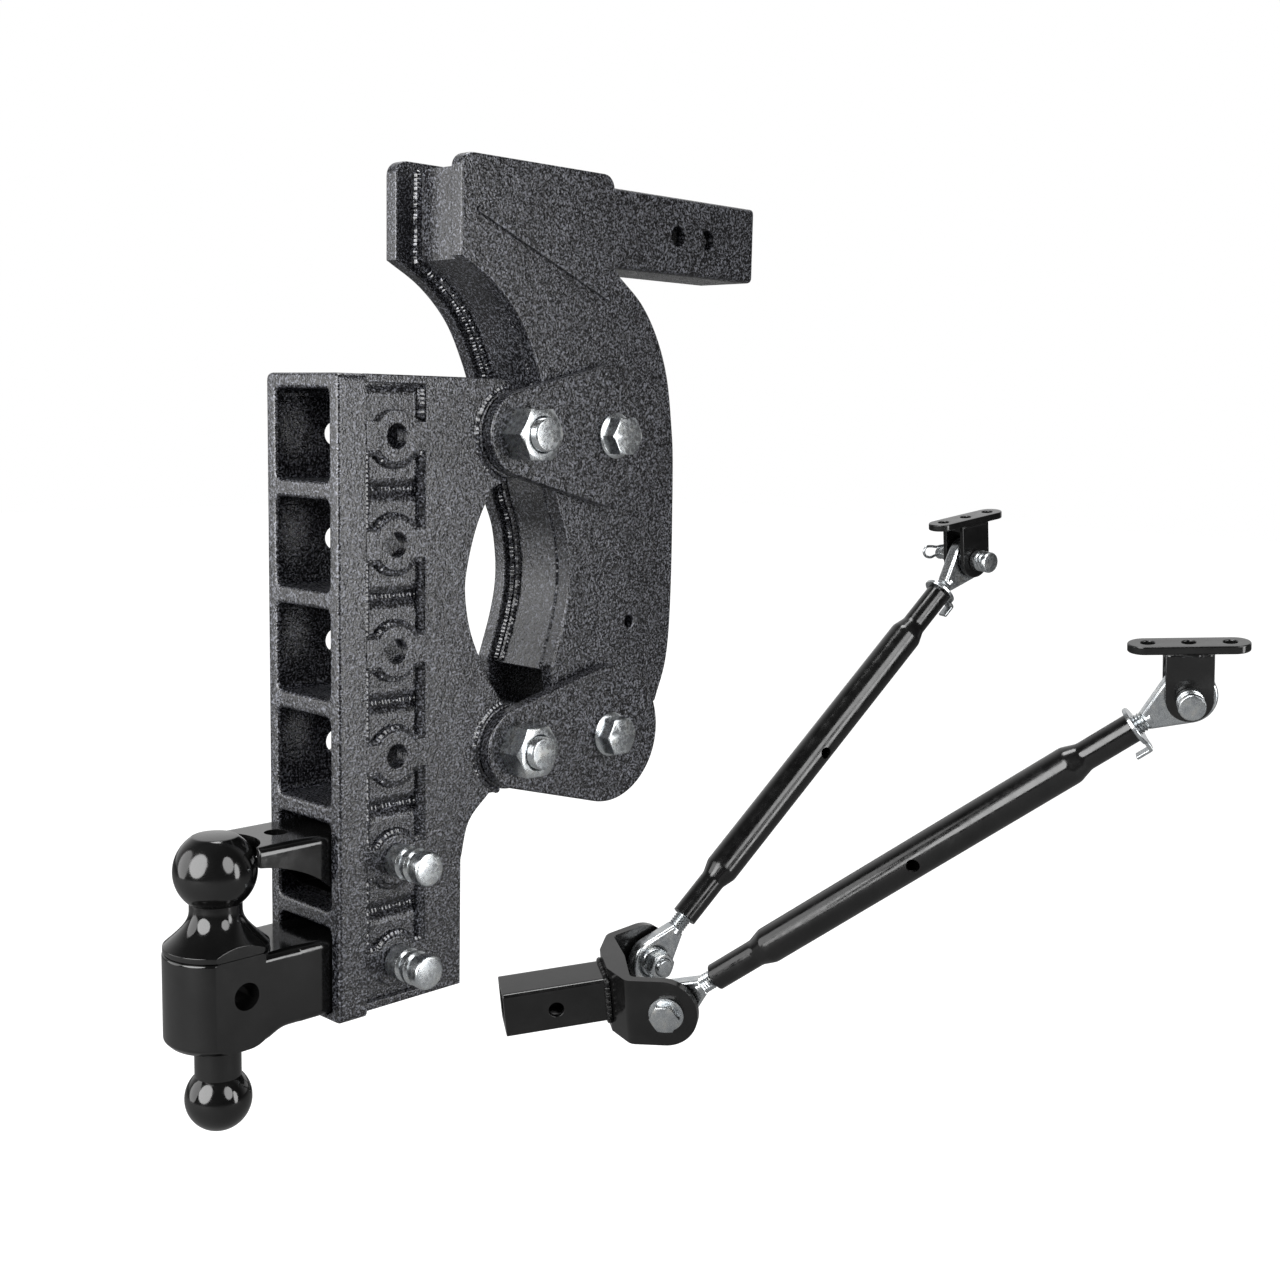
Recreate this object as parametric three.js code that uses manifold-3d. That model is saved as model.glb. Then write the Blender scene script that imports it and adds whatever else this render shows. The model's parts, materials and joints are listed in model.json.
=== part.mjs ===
// Weight distribution hitch: a cushioned drop hitch with a stack of receiver tubes, a double ball
// mount, and a separate pair of turnbuckle stabilizer arms. Millimetres, +Z up, +X towards the
// tow vehicle, +Y to the right-hand side of the vehicle's tail. The origin is the middle of the
// shank's top face, above the pair of pin holes.
import * as THREE from 'three';
import { mergeVertices } from 'three/addons/utils/BufferGeometryUtils.js';
import Module from 'manifold-3d';

const wasm = await Module();
wasm.setup();

const GAP = 0.3; // clearance between pieces that touch
const ROUND = 18; // sides on a large round face
const SMALL_ROUND = 12; // sides on a bolt, pin or hole

// Tow vehicle shank, 2.5 inch class
const SHANK = { width: 63.5, wall: 9.5, front: 150, back: 452, top: 155.25, corner: 4 };
const SHANK_HOLES = { first: 355, second: 392, radius: 8.4 };
const SHANK_MID = SHANK.top - SHANK.width / 2;

// Head: two side plates with a bent web between them
const HEAD = { inside: 32.1, outside: 44.8, webHalf: 31.8, webThick: 9.5 };

// Receiver column. X = 0 is the face that the ball mount slides into, Z = 0 is its top.
const COLUMN = {
  half: 43.9, height: 469.5, collar: 24, plateInside: 38.9, rear: 113, plateBottom: -464.5,
};
const OPENING = { half: 32.5, corner: 4, count: 6, pitch: 77.7, first: -43.5 };
const STACK = { half: 38.6, corner: 9, back: 110, bottom: -468 };
const PIN_X = 52;
const PIN_HOLE = 8.8;
const WINDOW = { right: 78, top: -6, bottom: -458.5, webHalf: 10.5, bossRadius: 19 };

// Cushioned parallel links: pivots on the head at x = 259, torsion bushes on the column at x = 161
const HEAD_PIVOT_X = 259;
const BUSH_X = 161;
const LEVELS = {
  upper: { headPivot: -42, bush: -41 },
  lower: { headPivot: -284, bush: -283 },
};
const LINK = { inside: 46.5, outside: 57, smallRadius: 32, bigRadius: 56.5 };
const HOUSING = { outer: 34, inner: 26, half: 46 };
const RUBBER = { outer: 25.7, inner: 18.3, half: 40 };
const SLEEVE = { outer: 18, inner: 13, half: 46.2 };
const TORSION_BOLT = { radius: 12.7, acrossFlats: 38.1, headHeight: 16, nutHeight: 22 };
const PIVOT_BOLT = { radius: 9.5, acrossFlats: 28.6, headHeight: 12, flange: 18, flangeHeight: 3.5 };

// Ball mount
const BALL_X = -74.3;
const UPPER_BALL = { radius: 29.37, centre: -348, flat: 16.5, neck: 18.5, base: 37, bottom: -404.6 };
const LOWER_BALL = { radius: 23.8, centre: -515, neck: 16.5, top: -472.3 };
const MOUNT_BODY = { radius: 37.5, top: -405, bottom: -472, bevel: 4.5 };
const INSERT_HALF = 31.75;
const INSERT_HEIGHT = 57.4;
const INSERT_CORNER = 5;
const INSERT_BACK = 100;

// Hitch pins and clips
const PIN = { radius: 7.94, knob: 12.8, groove: 10.8 };
const CLIP_WIRE = 1.75;

// Stabilizer kit: its own frame has X along its square shank, away from the open end
const KIT = {
  place: [471.2, 310.4, -671.2], yaw: -35.8, pitch: -6.9, roll: 6.9,
  shankLength: 115.4, shankWidth: 50.8, wall: 6.35,
  eyeX: 177, eyeY: 55, splay: 23.1, armLength: 634,
};
const ARM_RISE = { near: 33.5, far: 36.2 };
const YOKE = { thick: 9.5, height: 76, earInside: 12.5, earReach: 34 };
const EYE = { ring: 27, bore: 9.9, half: 8, neckHalf: 9, neckAt: 46, rod: 10 };
const TURNBUCKLE = {
  low: 63, high: 574, endRadius: 14.5, radius: 19.5, endBore: 10.5, bore: 15.5, shoulder: 57, taper: 11,
  turningHole: 7,
};
const BRACKET = {
  length: 112, width: 32, plate: 8, earWidth: 44, earInside: 11.5, earThick: 6, rise: 52,
  holePitch: 37.2, holeRadius: 6.6,
};

// ---------------------------------------------------------------- geometry helpers

function cleaned(geometry) {
  const bare = geometry.clone();
  for (const name of Object.keys(bare.attributes)) {
    if (name !== 'position') bare.deleteAttribute(name);
  }
  const merged = mergeVertices(bare, 1e-4);
  const index = merged.index.array;
  const point = merged.attributes.position;
  const kept = [];
  let volume = 0;
  const corners = [new THREE.Vector3(), new THREE.Vector3(), new THREE.Vector3()];
  for (let i = 0; i < index.length; i += 3) {
    const [a, b, c] = [index[i], index[i + 1], index[i + 2]];
    if (a === b || b === c || c === a) continue;
    kept.push(a, b, c);
    [a, b, c].forEach((vertex, k) => corners[k].fromBufferAttribute(point, vertex));
    volume += corners[0].dot(corners[1].clone().cross(corners[2]));
  }
  if (volume < 0) kept.reverse();
  merged.setIndex(kept);
  return merged;
}

function toSolid(geometry) {
  const clean = cleaned(geometry);
  return new wasm.Manifold(new wasm.Mesh({
    numProp: 3,
    vertProperties: Float32Array.from(clean.attributes.position.array),
    triVerts: Uint32Array.from(clean.index.array),
  }));
}

function toGeometry(solid) {
  const mesh = solid.getMesh();
  const geometry = new THREE.BufferGeometry();
  geometry.setAttribute('position', new THREE.BufferAttribute(Float32Array.from(mesh.vertProperties), 3));
  geometry.setIndex(Array.from(mesh.triVerts));
  return geometry;
}

function join(...pieces) {
  return toGeometry(pieces.map(toSolid).reduce((sum, piece) => sum.add(piece)));
}

function cut(base, ...tools) {
  return toGeometry(tools.map(toSolid).reduce((rest, tool) => rest.subtract(tool), toSolid(base)));
}

// A shape given depth along +Z, its outline wound one way and its holes the other
function extruded(shape, depth, curveSegments) {
  const { shape: outline, holes } = shape.extractPoints(curveSegments);
  const wound = (points, clockwise) => (
    THREE.ShapeUtils.isClockWise(points) === clockwise ? points : [...points].reverse());
  const tidy = new THREE.Shape(wound(outline, false));
  tidy.holes = holes.map((hole) => new THREE.Path(wound(hole, true)));
  return new THREE.ExtrudeGeometry(tidy, { depth, bevelEnabled: false });
}

// A shape drawn in X and Z, given thickness from y0 to y1
function slabXZ(shape, y0, y1, curveSegments = 5) {
  const slab = extruded(shape, y1 - y0, curveSegments);
  return slab.rotateX(Math.PI / 2).translate(0, y1, 0);
}

// A shape drawn in Y and Z, given length from x0 to x1
function barYZ(shape, x0, x1, curveSegments = 1) {
  const bar = extruded(shape, x1 - x0, curveSegments);
  return bar.rotateX(Math.PI / 2).rotateZ(Math.PI / 2).translate(x0, 0, 0);
}

// A profile of [radius, height] points turned about Y, with its heights along +Y
function turnedY(profile, sides = ROUND) {
  return new THREE.LatheGeometry(profile.map(([r, h]) => new THREE.Vector2(r, h)), sides);
}

function turnedZ(profile, sides = ROUND) {
  return turnedY(profile, sides).rotateX(Math.PI / 2);
}

function turnedX(profile, sides = ROUND) {
  return turnedY(profile, sides).rotateZ(-Math.PI / 2);
}

function rodY(radius, y0, y1, sides = SMALL_ROUND) {
  return new THREE.CylinderGeometry(radius, radius, y1 - y0, sides).translate(0, (y0 + y1) / 2, 0);
}

function hexY(acrossFlats, y0, y1) {
  return rodY(acrossFlats / Math.sqrt(3), y0, y1, 6);
}

function ringY(outer, inner, y0, y1, sides = ROUND) {
  return turnedY([[inner, y0], [outer, y0], [outer, y1], [inner, y1], [inner, y0]], sides);
}

// A cutter for a round hole, whose flats clear the stated radius
function boreY(radius, y0, y1, sides = SMALL_ROUND) {
  return rodY(radius / Math.cos(Math.PI / sides), y0, y1, sides);
}

// A round hole in an outline, whose flats clear the stated radius
function circlePath(x, z, radius, sides = SMALL_ROUND) {
  const reach = radius / Math.cos(Math.PI / sides);
  const corners = Array.from({ length: sides }, (_, k) => {
    const angle = (2 * Math.PI * k) / sides;
    return new THREE.Vector2(x + reach * Math.cos(angle), z + reach * Math.sin(angle));
  });
  return new THREE.Path(corners);
}

function roundedRectangle(target, halfWidth, z0, z1, corner) {
  target.moveTo(-halfWidth + corner, z0);
  target.lineTo(halfWidth - corner, z0);
  target.absarc(halfWidth - corner, z0 + corner, corner, -Math.PI / 2, 0, false);
  target.lineTo(halfWidth, z1 - corner);
  target.absarc(halfWidth - corner, z1 - corner, corner, 0, Math.PI / 2, false);
  target.lineTo(-halfWidth + corner, z1);
  target.absarc(-halfWidth + corner, z1 - corner, corner, Math.PI / 2, Math.PI, false);
  target.lineTo(-halfWidth, z0 + corner);
  target.absarc(-halfWidth + corner, z0 + corner, corner, Math.PI, 1.5 * Math.PI, false);
  return target;
}

// The outline around two circles and their outer tangents
function teardrop(x1, z1, r1, x2, z2, r2) {
  const along = Math.atan2(z2 - z1, x2 - x1);
  const lean = Math.acos((r1 - r2) / Math.hypot(x2 - x1, z2 - z1));
  const shape = new THREE.Shape();
  shape.absarc(x1, z1, r1, along + lean, along + 2 * Math.PI - lean, false);
  shape.absarc(x2, z2, r2, along - lean, along + lean, false);
  shape.closePath();
  return shape;
}

// A strip of even thickness to the left of a line of points
function strip(points, thickness) {
  const other = points.map((point, i) => {
    const before = points[Math.max(i - 1, 0)];
    const after = points[Math.min(i + 1, points.length - 1)];
    const along = after.clone().sub(before).normalize();
    return new THREE.Vector2(point.x - along.y * thickness, point.y + along.x * thickness);
  });
  return new THREE.Shape([...points, ...other.reverse()]);
}

function smooth(points, count) {
  return new THREE.SplineCurve(points.map(([x, z]) => new THREE.Vector2(x, z))).getPoints(count);
}

// ---------------------------------------------------------------- materials

const paint = {
  hammered: { color: 0x2b2b2e, roughness: 0.45, metalness: 0.35 },
  gloss: { color: 0x0b0b0d, roughness: 0.15, metalness: 0.2 },
  zinc: { color: 0xc3c7ca, roughness: 0.3, metalness: 0.9 },
  steel: { color: 0x85888b, roughness: 0.4, metalness: 0.9 },
  rubber: { color: 0x161616, roughness: 0.85, metalness: 0 },
};

function piece(name, geometry, look) {
  const mesh = new THREE.Mesh(cleaned(geometry), new THREE.MeshStandardMaterial(paint[look]));
  mesh.name = name;
  return mesh;
}

// Both sides of a plate that comes as a mirrored pair
const SIDES = [['near', -1], ['far', 1]];

function sideSlab(shape, side, inside, outside, curveSegments) {
  const [low, high] = side < 0 ? [-outside, -inside] : [inside, outside];
  return slabXZ(shape, low, high, curveSegments);
}

// ---------------------------------------------------------------- head and shank

const HEAD_INNER_EDGE = [
  [109, 88], [141, 70], [167, 45], [184, 14], [194, -14], [199, -42], [203, -72],
  [209, -97], [218, -121], [222, -156], [217, -188], [204, -227],
];
const HEAD_OUTER_EDGE = [
  [274, 84], [300, 64], [319, 38], [332, 6], [339, -34], [342, -70], [343, -168], [339, -228],
  [326, -265],
];

function shankTube() {
  const { width, wall, front, back, top, corner } = SHANK;
  const half = width / 2;
  const outline = roundedRectangle(new THREE.Shape(), half, top - width, top, corner);
  const bore = new THREE.Path();
  roundedRectangle(bore, half - wall, top - width + wall, top - wall, 1.5);
  outline.holes.push(bore);
  const holes = [SHANK_HOLES.first, SHANK_HOLES.second].map(
    (x) => boreY(SHANK_HOLES.radius, -half - 1, half + 1).translate(x, 0, SHANK_MID));
  return cut(barYZ(outline, front, back), ...holes);
}

function headPlateShape() {
  const shape = new THREE.Shape();
  const topCorner = 11;
  shape.moveTo(109, 88);
  smooth(HEAD_INNER_EDGE, 18).slice(1).forEach((p) => shape.lineTo(p.x, p.y));
  const foot = { x: 262, z: -282, radius: 50 };
  shape.absarc(foot.x, foot.z, foot.radius, Math.PI * 0.97, Math.PI * 2.05, false);
  smooth(HEAD_OUTER_EDGE, 13).reverse().forEach((p) => shape.lineTo(p.x, p.y));
  shape.lineTo(268, 91);
  shape.lineTo(266.5, 162 - topCorner);
  shape.absarc(266.5 - topCorner, 162 - topCorner, topCorner, 0, Math.PI / 2, false);
  shape.lineTo(109 + topCorner, 162);
  shape.absarc(109 + topCorner, 162 - topCorner, topCorner, Math.PI / 2, Math.PI, false);
  shape.closePath();
  for (const level of Object.values(LEVELS)) {
    shape.holes.push(circlePath(HEAD_PIVOT_X, level.headPivot, PIVOT_BOLT.radius + GAP));
  }
  shape.holes.push(circlePath(292, -195, 5));
  return shape;
}

// One bent web: down the front between the plates, then along the inner edge
function headInnerWeb() {
  const recess = 9;
  const edge = smooth(HEAD_INNER_EDGE.slice(1), 16);
  const curve = edge.map((point, i) => {
    const along = edge[Math.min(i + 1, edge.length - 1)].clone().sub(edge[Math.max(i - 1, 0)]).normalize();
    return new THREE.Vector2(point.x - along.y * recess, point.y + along.x * recess);
  });
  const front = [new THREE.Vector2(129, 156), new THREE.Vector2(129, 118), new THREE.Vector2(129, 88)];
  return slabXZ(strip([...front, ...curve], HEAD.webThick), -HEAD.webHalf, HEAD.webHalf);
}

function headOuterWeb() {
  const recess = 7;
  const inset = smooth(HEAD_OUTER_EDGE, 13).slice(1).reverse();
  const line = strip(inset, recess + HEAD.webThick).getPoints().slice(inset.length).reverse();
  return slabXZ(strip(line.map((p) => p.clone()), -HEAD.webThick), -HEAD.webHalf, HEAD.webHalf);
}

// A plain raised stiffening bar on the outside of the near plate
function headRib() {
  const width = 6;
  const start = new THREE.Vector2(124, 123);
  const end = new THREE.Vector2(262, 66);
  const lean = end.clone().sub(start).angle();
  const bar = roundedRectangle(new THREE.Shape(), start.distanceTo(end) / 2, -width / 2, width / 2, 2.9);
  const slab = extruded(bar, 2.4, 2);
  slab.rotateZ(lean).translate((start.x + end.x) / 2, (start.y + end.y) / 2, 0);
  return slab.rotateX(Math.PI / 2).translate(0, -HEAD.outside - GAP, 0);
}

function headPieces() {
  const plate = headPlateShape();
  return [
    piece('shank_tube', shankTube(), 'hammered'),
    ...SIDES.map(([name, side]) => piece(
      `head_plate_${name}`, sideSlab(plate, side, HEAD.inside, HEAD.outside), 'hammered')),
    piece('head_inner_web', headInnerWeb(), 'hammered'),
    piece('head_outer_web', headOuterWeb(), 'hammered'),
    piece('head_stiffening_bar', headRib(), 'hammered'),
  ];
}

// ---------------------------------------------------------------- links, bushes and their bolts

function linkPieces(level, { headPivot, bush }) {
  const outline = teardrop(BUSH_X, bush, LINK.smallRadius, HEAD_PIVOT_X, headPivot, LINK.bigRadius);
  outline.holes.push(circlePath(BUSH_X, bush, TORSION_BOLT.radius + GAP));
  outline.holes.push(circlePath(HEAD_PIVOT_X, headPivot, PIVOT_BOLT.radius + GAP));
  const atBush = (geometry) => geometry.translate(BUSH_X, 0, bush);
  const atHead = (geometry) => geometry.translate(HEAD_PIVOT_X, 0, headPivot);
  const face = LINK.outside + GAP;
  const torsionBolt = join(
    rodY(TORSION_BOLT.radius, -face - TORSION_BOLT.nutHeight - 6, face + 2, ROUND),
    hexY(TORSION_BOLT.acrossFlats, face, face + TORSION_BOLT.headHeight));
  const torsionNut = cut(
    hexY(TORSION_BOLT.acrossFlats, -face - TORSION_BOLT.nutHeight, -face),
    boreY(TORSION_BOLT.radius + GAP, -face - TORSION_BOLT.nutHeight - 1, -face + 1, ROUND));
  const pivotHead = face + PIVOT_BOLT.flangeHeight;
  const pivotBolt = join(
    rodY(PIVOT_BOLT.radius, -face - 2, face + 20),
    rodY(PIVOT_BOLT.flange, -pivotHead, -face, ROUND),
    hexY(PIVOT_BOLT.acrossFlats, -pivotHead - PIVOT_BOLT.headHeight, -pivotHead + 1));
  const pivotNut = cut(
    join(rodY(PIVOT_BOLT.flange, face, face + 3, ROUND), hexY(PIVOT_BOLT.acrossFlats, face + 2, face + 16)),
    boreY(PIVOT_BOLT.radius + GAP, face - 1, face + 18));
  return [
    ...SIDES.map(([name, side]) => piece(
      `${level}_link_${name}`, sideSlab(outline, side, LINK.inside, LINK.outside, 6), 'hammered')),
    piece(`torsion_bolt_${level}`, atBush(torsionBolt), 'zinc'),
    piece(`torsion_nut_${level}`, atBush(torsionNut), 'zinc'),
    piece(`pivot_bolt_${level}`, atHead(pivotBolt), 'zinc'),
    piece(`pivot_nut_${level}`, atHead(pivotNut), 'zinc'),
    piece(`clamp_sleeve_${level}`, atBush(bushRing(SLEEVE)), 'steel'),
    piece(`pivot_sleeve_${level}`, atHead(pivotSleeve()), 'steel'),
    piece(`rubber_bush_${level}`, atBush(bushRing(RUBBER)), 'rubber'),
    piece(`bush_housing_${level}`, atBush(bushRing(HOUSING)), 'hammered'),
  ];
}

function bushRing({ outer, inner, half }) {
  return ringY(outer, inner, -half, half);
}

// Spacer tube on the pivot bolt, between the two head plates
function pivotSleeve() {
  const half = HEAD.inside - GAP;
  return ringY(15, PIVOT_BOLT.radius + GAP, -half, half);
}

// ---------------------------------------------------------------- receiver column

const pinLevel = (k) => OPENING.first - k * OPENING.pitch;
const pinLevels = Array.from({ length: OPENING.count }, (_, k) => pinLevel(k));

function openingPath(z) {
  return roundedRectangle(new THREE.Path(), OPENING.half, z - OPENING.half, z + OPENING.half, OPENING.corner);
}

function collar() {
  const outline = roundedRectangle(new THREE.Shape(), COLUMN.half, -COLUMN.height, 0, 4);
  pinLevels.forEach((z) => outline.holes.push(openingPath(z)));
  return barYZ(outline, 0, COLUMN.collar);
}

// Six square tubes welded one above the other, with a groove where their rounded corners meet
function receiverStack() {
  const { half, corner, bottom } = STACK;
  const outline = new THREE.Shape();
  const tops = pinLevels.map((z) => z + OPENING.pitch / 2);
  const bottoms = pinLevels.map((z, k) => (k < OPENING.count - 1 ? z - OPENING.pitch / 2 : bottom));
  outline.moveTo(0, tops[0]);
  tops.forEach((top, k) => {
    outline.absarc(half - corner, top - corner, corner, Math.PI / 2, 0, true);
    outline.absarc(half - corner, bottoms[k] + corner, corner, 0, -Math.PI / 2, true);
  });
  [...tops.keys()].reverse().forEach((k) => {
    outline.absarc(-half + corner, bottoms[k] + corner, corner, -Math.PI / 2, -Math.PI, true);
    outline.absarc(-half + corner, tops[k] - corner, corner, Math.PI, Math.PI / 2, true);
  });
  outline.closePath();
  pinLevels.forEach((z) => outline.holes.push(openingPath(z)));
  const holes = pinLevels.map((z) => boreY(PIN_HOLE, -half - 1, half + 1).translate(PIN_X, 0, z));
  return cut(barYZ(outline, COLUMN.collar + GAP, STACK.back), ...holes);
}

// Side plate: straight teeth and round bosses left around the pin holes, windows between them
function columnPlateShape() {
  const left = COLUMN.collar + GAP;
  const { right, top, bottom, webHalf, bossRadius } = WINDOW;
  const shape = new THREE.Shape();
  const notch = HOUSING.outer + 2.2;
  const upper = LEVELS.upper.bush;
  const lower = LEVELS.lower.bush;
  shape.moveTo(left, 0);
  shape.lineTo(150, 0);
  shape.absarc(BUSH_X, upper, notch, Math.PI * 0.53, Math.PI * 1.45, false);
  smooth([[141, -83], [127, -110], [118, -140], [116, -162], [122, -192], [138, -225], [150, -243]], 9)
    .forEach((p) => shape.lineTo(p.x, p.y));
  shape.absarc(BUSH_X, lower, notch, Math.PI * 0.56, Math.PI * 1.42, false);
  shape.lineTo(141, -318);
  shape.quadraticCurveTo(COLUMN.rear, -344, COLUMN.rear, -366);
  shape.lineTo(COLUMN.rear, COLUMN.plateBottom);
  shape.lineTo(left, COLUMN.plateBottom);
  shape.lineTo(left, bottom);
  shape.lineTo(right, bottom);
  const lean = Math.asin(webHalf / bossRadius);
  [...pinLevels].reverse().forEach((z) => {
    shape.lineTo(right, z - webHalf);
    shape.absarc(PIN_X, z, bossRadius, -lean, -Math.PI + lean, true);
    shape.lineTo(left, z - webHalf);
    shape.lineTo(left, z + webHalf);
    shape.absarc(PIN_X, z, bossRadius, Math.PI - lean, lean, true);
    shape.lineTo(right, z + webHalf);
  });
  shape.lineTo(right, top);
  shape.lineTo(left, top);
  shape.closePath();
  pinLevels.forEach((z) => shape.holes.push(circlePath(PIN_X, z, PIN_HOLE)));
  return shape;
}

function columnPieces() {
  const plate = columnPlateShape();
  return [
    piece('receiver_collar', collar(), 'hammered'),
    piece('receiver_stack', receiverStack(), 'hammered'),
    ...SIDES.map(([name, side]) => piece(
      `column_plate_${name}`, sideSlab(plate, side, COLUMN.plateInside, COLUMN.half, 2), 'hammered')),
  ];
}

// ---------------------------------------------------------------- ball mount

const MOUNT_LEVEL = pinLevel(5);
const LOCK_LEVEL = pinLevel(4);
const openingFloor = (level) => level - OPENING.half + GAP;

function sphereArc(radius, centre, fromZ, toZ, steps) {
  const start = Math.asin((fromZ - centre) / radius);
  const end = Math.asin((toZ - centre) / radius);
  return Array.from({ length: steps + 1 }, (_, k) => {
    const angle = start + ((end - start) * k) / steps;
    return [radius * Math.cos(angle), centre + radius * Math.sin(angle)];
  });
}

// Cutters for the two flats on the sides of the round body and of the ball's base
function flattening(level) {
  return SIDES.map(([, side]) => (
    new THREE.BoxGeometry(90, 20, 180).translate(BALL_X, side * (INSERT_HALF + 10), level)));
}

function upperBall() {
  const { radius, centre, flat, neck, base, bottom } = UPPER_BALL;
  const flare = [[0, 0], [0.08, 0.3], [0.3, 0.62], [0.62, 0.88], [1, 1]].map(([out, down]) => [
    neck + (base - neck) * out, -379 + (bottom + 3 + 379) * down]).reverse();
  const top = centre + Math.sqrt(radius ** 2 - flat ** 2);
  const join1 = centre - Math.sqrt(radius ** 2 - neck ** 2);
  const sphere = sphereArc(radius, centre, join1, top, 9);
  const ball = turnedZ([[0, bottom], [base - 1, bottom], ...flare, ...sphere, [0, top]]).translate(BALL_X, 0, 0);
  return cut(ball, ...flattening(bottom - 60));
}

function lowerBall() {
  const { radius, centre, neck, top } = LOWER_BALL;
  const flat = 9;
  const low = centre - Math.sqrt(radius ** 2 - flat ** 2);
  const high = centre + Math.sqrt(radius ** 2 - neck ** 2);
  const sphere = sphereArc(radius, centre, low, high, 8);
  return turnedZ([[0, low], ...sphere, [neck, top - 3], [neck + 2, top], [0, top]]).translate(BALL_X, 0, 0);
}

// Round body with two flat sides, and the arm that slides into the lowest receiver tube
function ballMountBody() {
  const { radius, top, bottom, bevel } = MOUNT_BODY;
  const round = turnedZ([[0, bottom], [radius - bevel, bottom], [radius, bottom + bevel], [radius, top - 2],
    [radius - 2, top], [0, top]]).translate(BALL_X, 0, 0);
  const body = cut(round, ...flattening((top + bottom) / 2));
  const floor = openingFloor(MOUNT_LEVEL);
  const outline = new THREE.Shape();
  roundedRectangle(outline, INSERT_HALF, floor, floor + INSERT_HEIGHT, INSERT_CORNER);
  const shank = barYZ(outline, -20, INSERT_BACK, 2);
  const arm = new THREE.Shape();
  arm.moveTo(-94, floor + INSERT_HEIGHT);
  arm.lineTo(-18, floor + INSERT_HEIGHT);
  arm.lineTo(-18, floor);
  arm.lineTo(-34, floor);
  arm.bezierCurveTo(-46, floor, -47, bottom + 1, -60, bottom + 1);
  arm.lineTo(-90, bottom + 1);
  arm.lineTo(-94, bottom + 6);
  arm.closePath();
  const crossHole = boreY(10, -50, 50).translate(-70, 0, MOUNT_LEVEL - 1);
  const pinHole = boreY(PIN.radius + GAP, -50, 50).translate(PIN_X, 0, MOUNT_LEVEL);
  return cut(join(body, shank, slabXZ(arm, -INSERT_HALF, INSERT_HALF)), crossHole, pinHole);
}

// Square tube that locks the coupler down: its top wall reaches out over the ball
function lockInsert() {
  const floor = openingFloor(LOCK_LEVEL);
  const top = floor + INSERT_HEIGHT;
  const wall = 7;
  const outline = roundedRectangle(new THREE.Shape(), INSERT_HALF, floor, top, INSERT_CORNER);
  outline.holes.push(roundedRectangle(new THREE.Path(), INSERT_HALF - wall, floor + wall, top - wall, 1.5));
  const tube = barYZ(outline, -58, INSERT_BACK, 2);
  const under = new THREE.Shape();
  under.moveTo(-80, top - 14);
  under.lineTo(-58, top - 14);
  under.quadraticCurveTo(-8, top - 20, 22, floor - 2);
  under.lineTo(-80, floor - 2);
  under.closePath();
  const drill = (radius, sides) => (
    turnedZ([[0, top - 40], [radius, top - 40], [radius, top + 2], [0, top + 2]], sides));
  const bite = drill(32).translate(BALL_X - 1, 0, 0);
  const eye = drill(8.5, SMALL_ROUND).translate(-24, 0, 0);
  const pinHole = boreY(PIN.radius + GAP, -50, 50).translate(PIN_X, 0, LOCK_LEVEL);
  return cut(tube, slabXZ(under, -50, 50), bite, eye, pinHole);
}

// ---------------------------------------------------------------- pins and clips

// Grooved knob on the -Y side, shaft towards +Y with a cross hole for its clip
function hitchPin(knobStart, knobLength, shaftEnd, clipAt) {
  const { radius, knob, groove } = PIN;
  const end = knobStart - knobLength;
  const profile = [[0, end], [knob - 1.5, end], [knob, end + 1.5]];
  const ring = knobLength / 4;
  for (let k = 1; k < 3; k += 1) {
    const at = end + k * ring;
    profile.push([knob, at], [groove, at + 1], [groove, at + ring / 2], [knob, at + ring / 2 + 1]);
  }
  profile.push([knob, knobStart], [radius, knobStart], [radius, shaftEnd - 2], [radius - 2, shaftEnd]);
  profile.push([0, shaftEnd]);
  const hole = new THREE.CylinderGeometry(CLIP_WIRE + 0.4, CLIP_WIRE + 0.4, 30, 8)
    .rotateX(Math.PI / 2).translate(0, clipAt, 0);
  return cut(turnedY(profile, SMALL_ROUND), hole);
}

// Spring clip in a plane across the pin: a straight leg through the hole, a loop, a hugging leg
function clip(clipAt) {
  const hug = PIN.radius + CLIP_WIRE + GAP;
  const route = [
    [0, -15], [0, 0], [0, 14], [-1, 22], [2, 30], [8, 33], [13.5, 29], [13, 21],
    [hug + 0.6, 12], [hug + 0.4, 5], [hug, 0], [hug + 1.2, -6], [hug + 5, -13],
  ].map(([x, z]) => new THREE.Vector3(x, clipAt, z));
  const wire = new THREE.Shape().absarc(0, 0, CLIP_WIRE, 0, 2 * Math.PI, false);
  return new THREE.ExtrudeGeometry(wire, {
    steps: 18, curveSegments: 3, extrudePath: new THREE.CatmullRomCurve3(route), bevelEnabled: false,
  });
}

const HITCH_PIN = { knobStart: -COLUMN.half - 0.5, knobLength: 38, shaftEnd: 66, clipAt: 56 };

function ballMountPieces() {
  const { knobStart, knobLength, shaftEnd, clipAt } = HITCH_PIN;
  const pins = [['lock', LOCK_LEVEL], ['mount', MOUNT_LEVEL]].flatMap(([name, level]) => [
    piece(`${name}_pin`, hitchPin(knobStart, knobLength, shaftEnd, clipAt).translate(PIN_X, 0, level), 'zinc'),
    piece(`${name}_pin_clip`, clip(clipAt).translate(PIN_X, 0, level), 'zinc'),
  ]);
  return [
    piece('ball_mount_body', ballMountBody(), 'gloss'),
    piece('upper_ball', upperBall(), 'gloss'),
    piece('lower_ball', lowerBall(), 'gloss'),
    piece('lock_insert', lockInsert(), 'gloss'),
    ...pins,
  ];
}

// ---------------------------------------------------------------- stabilizer kit

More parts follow.
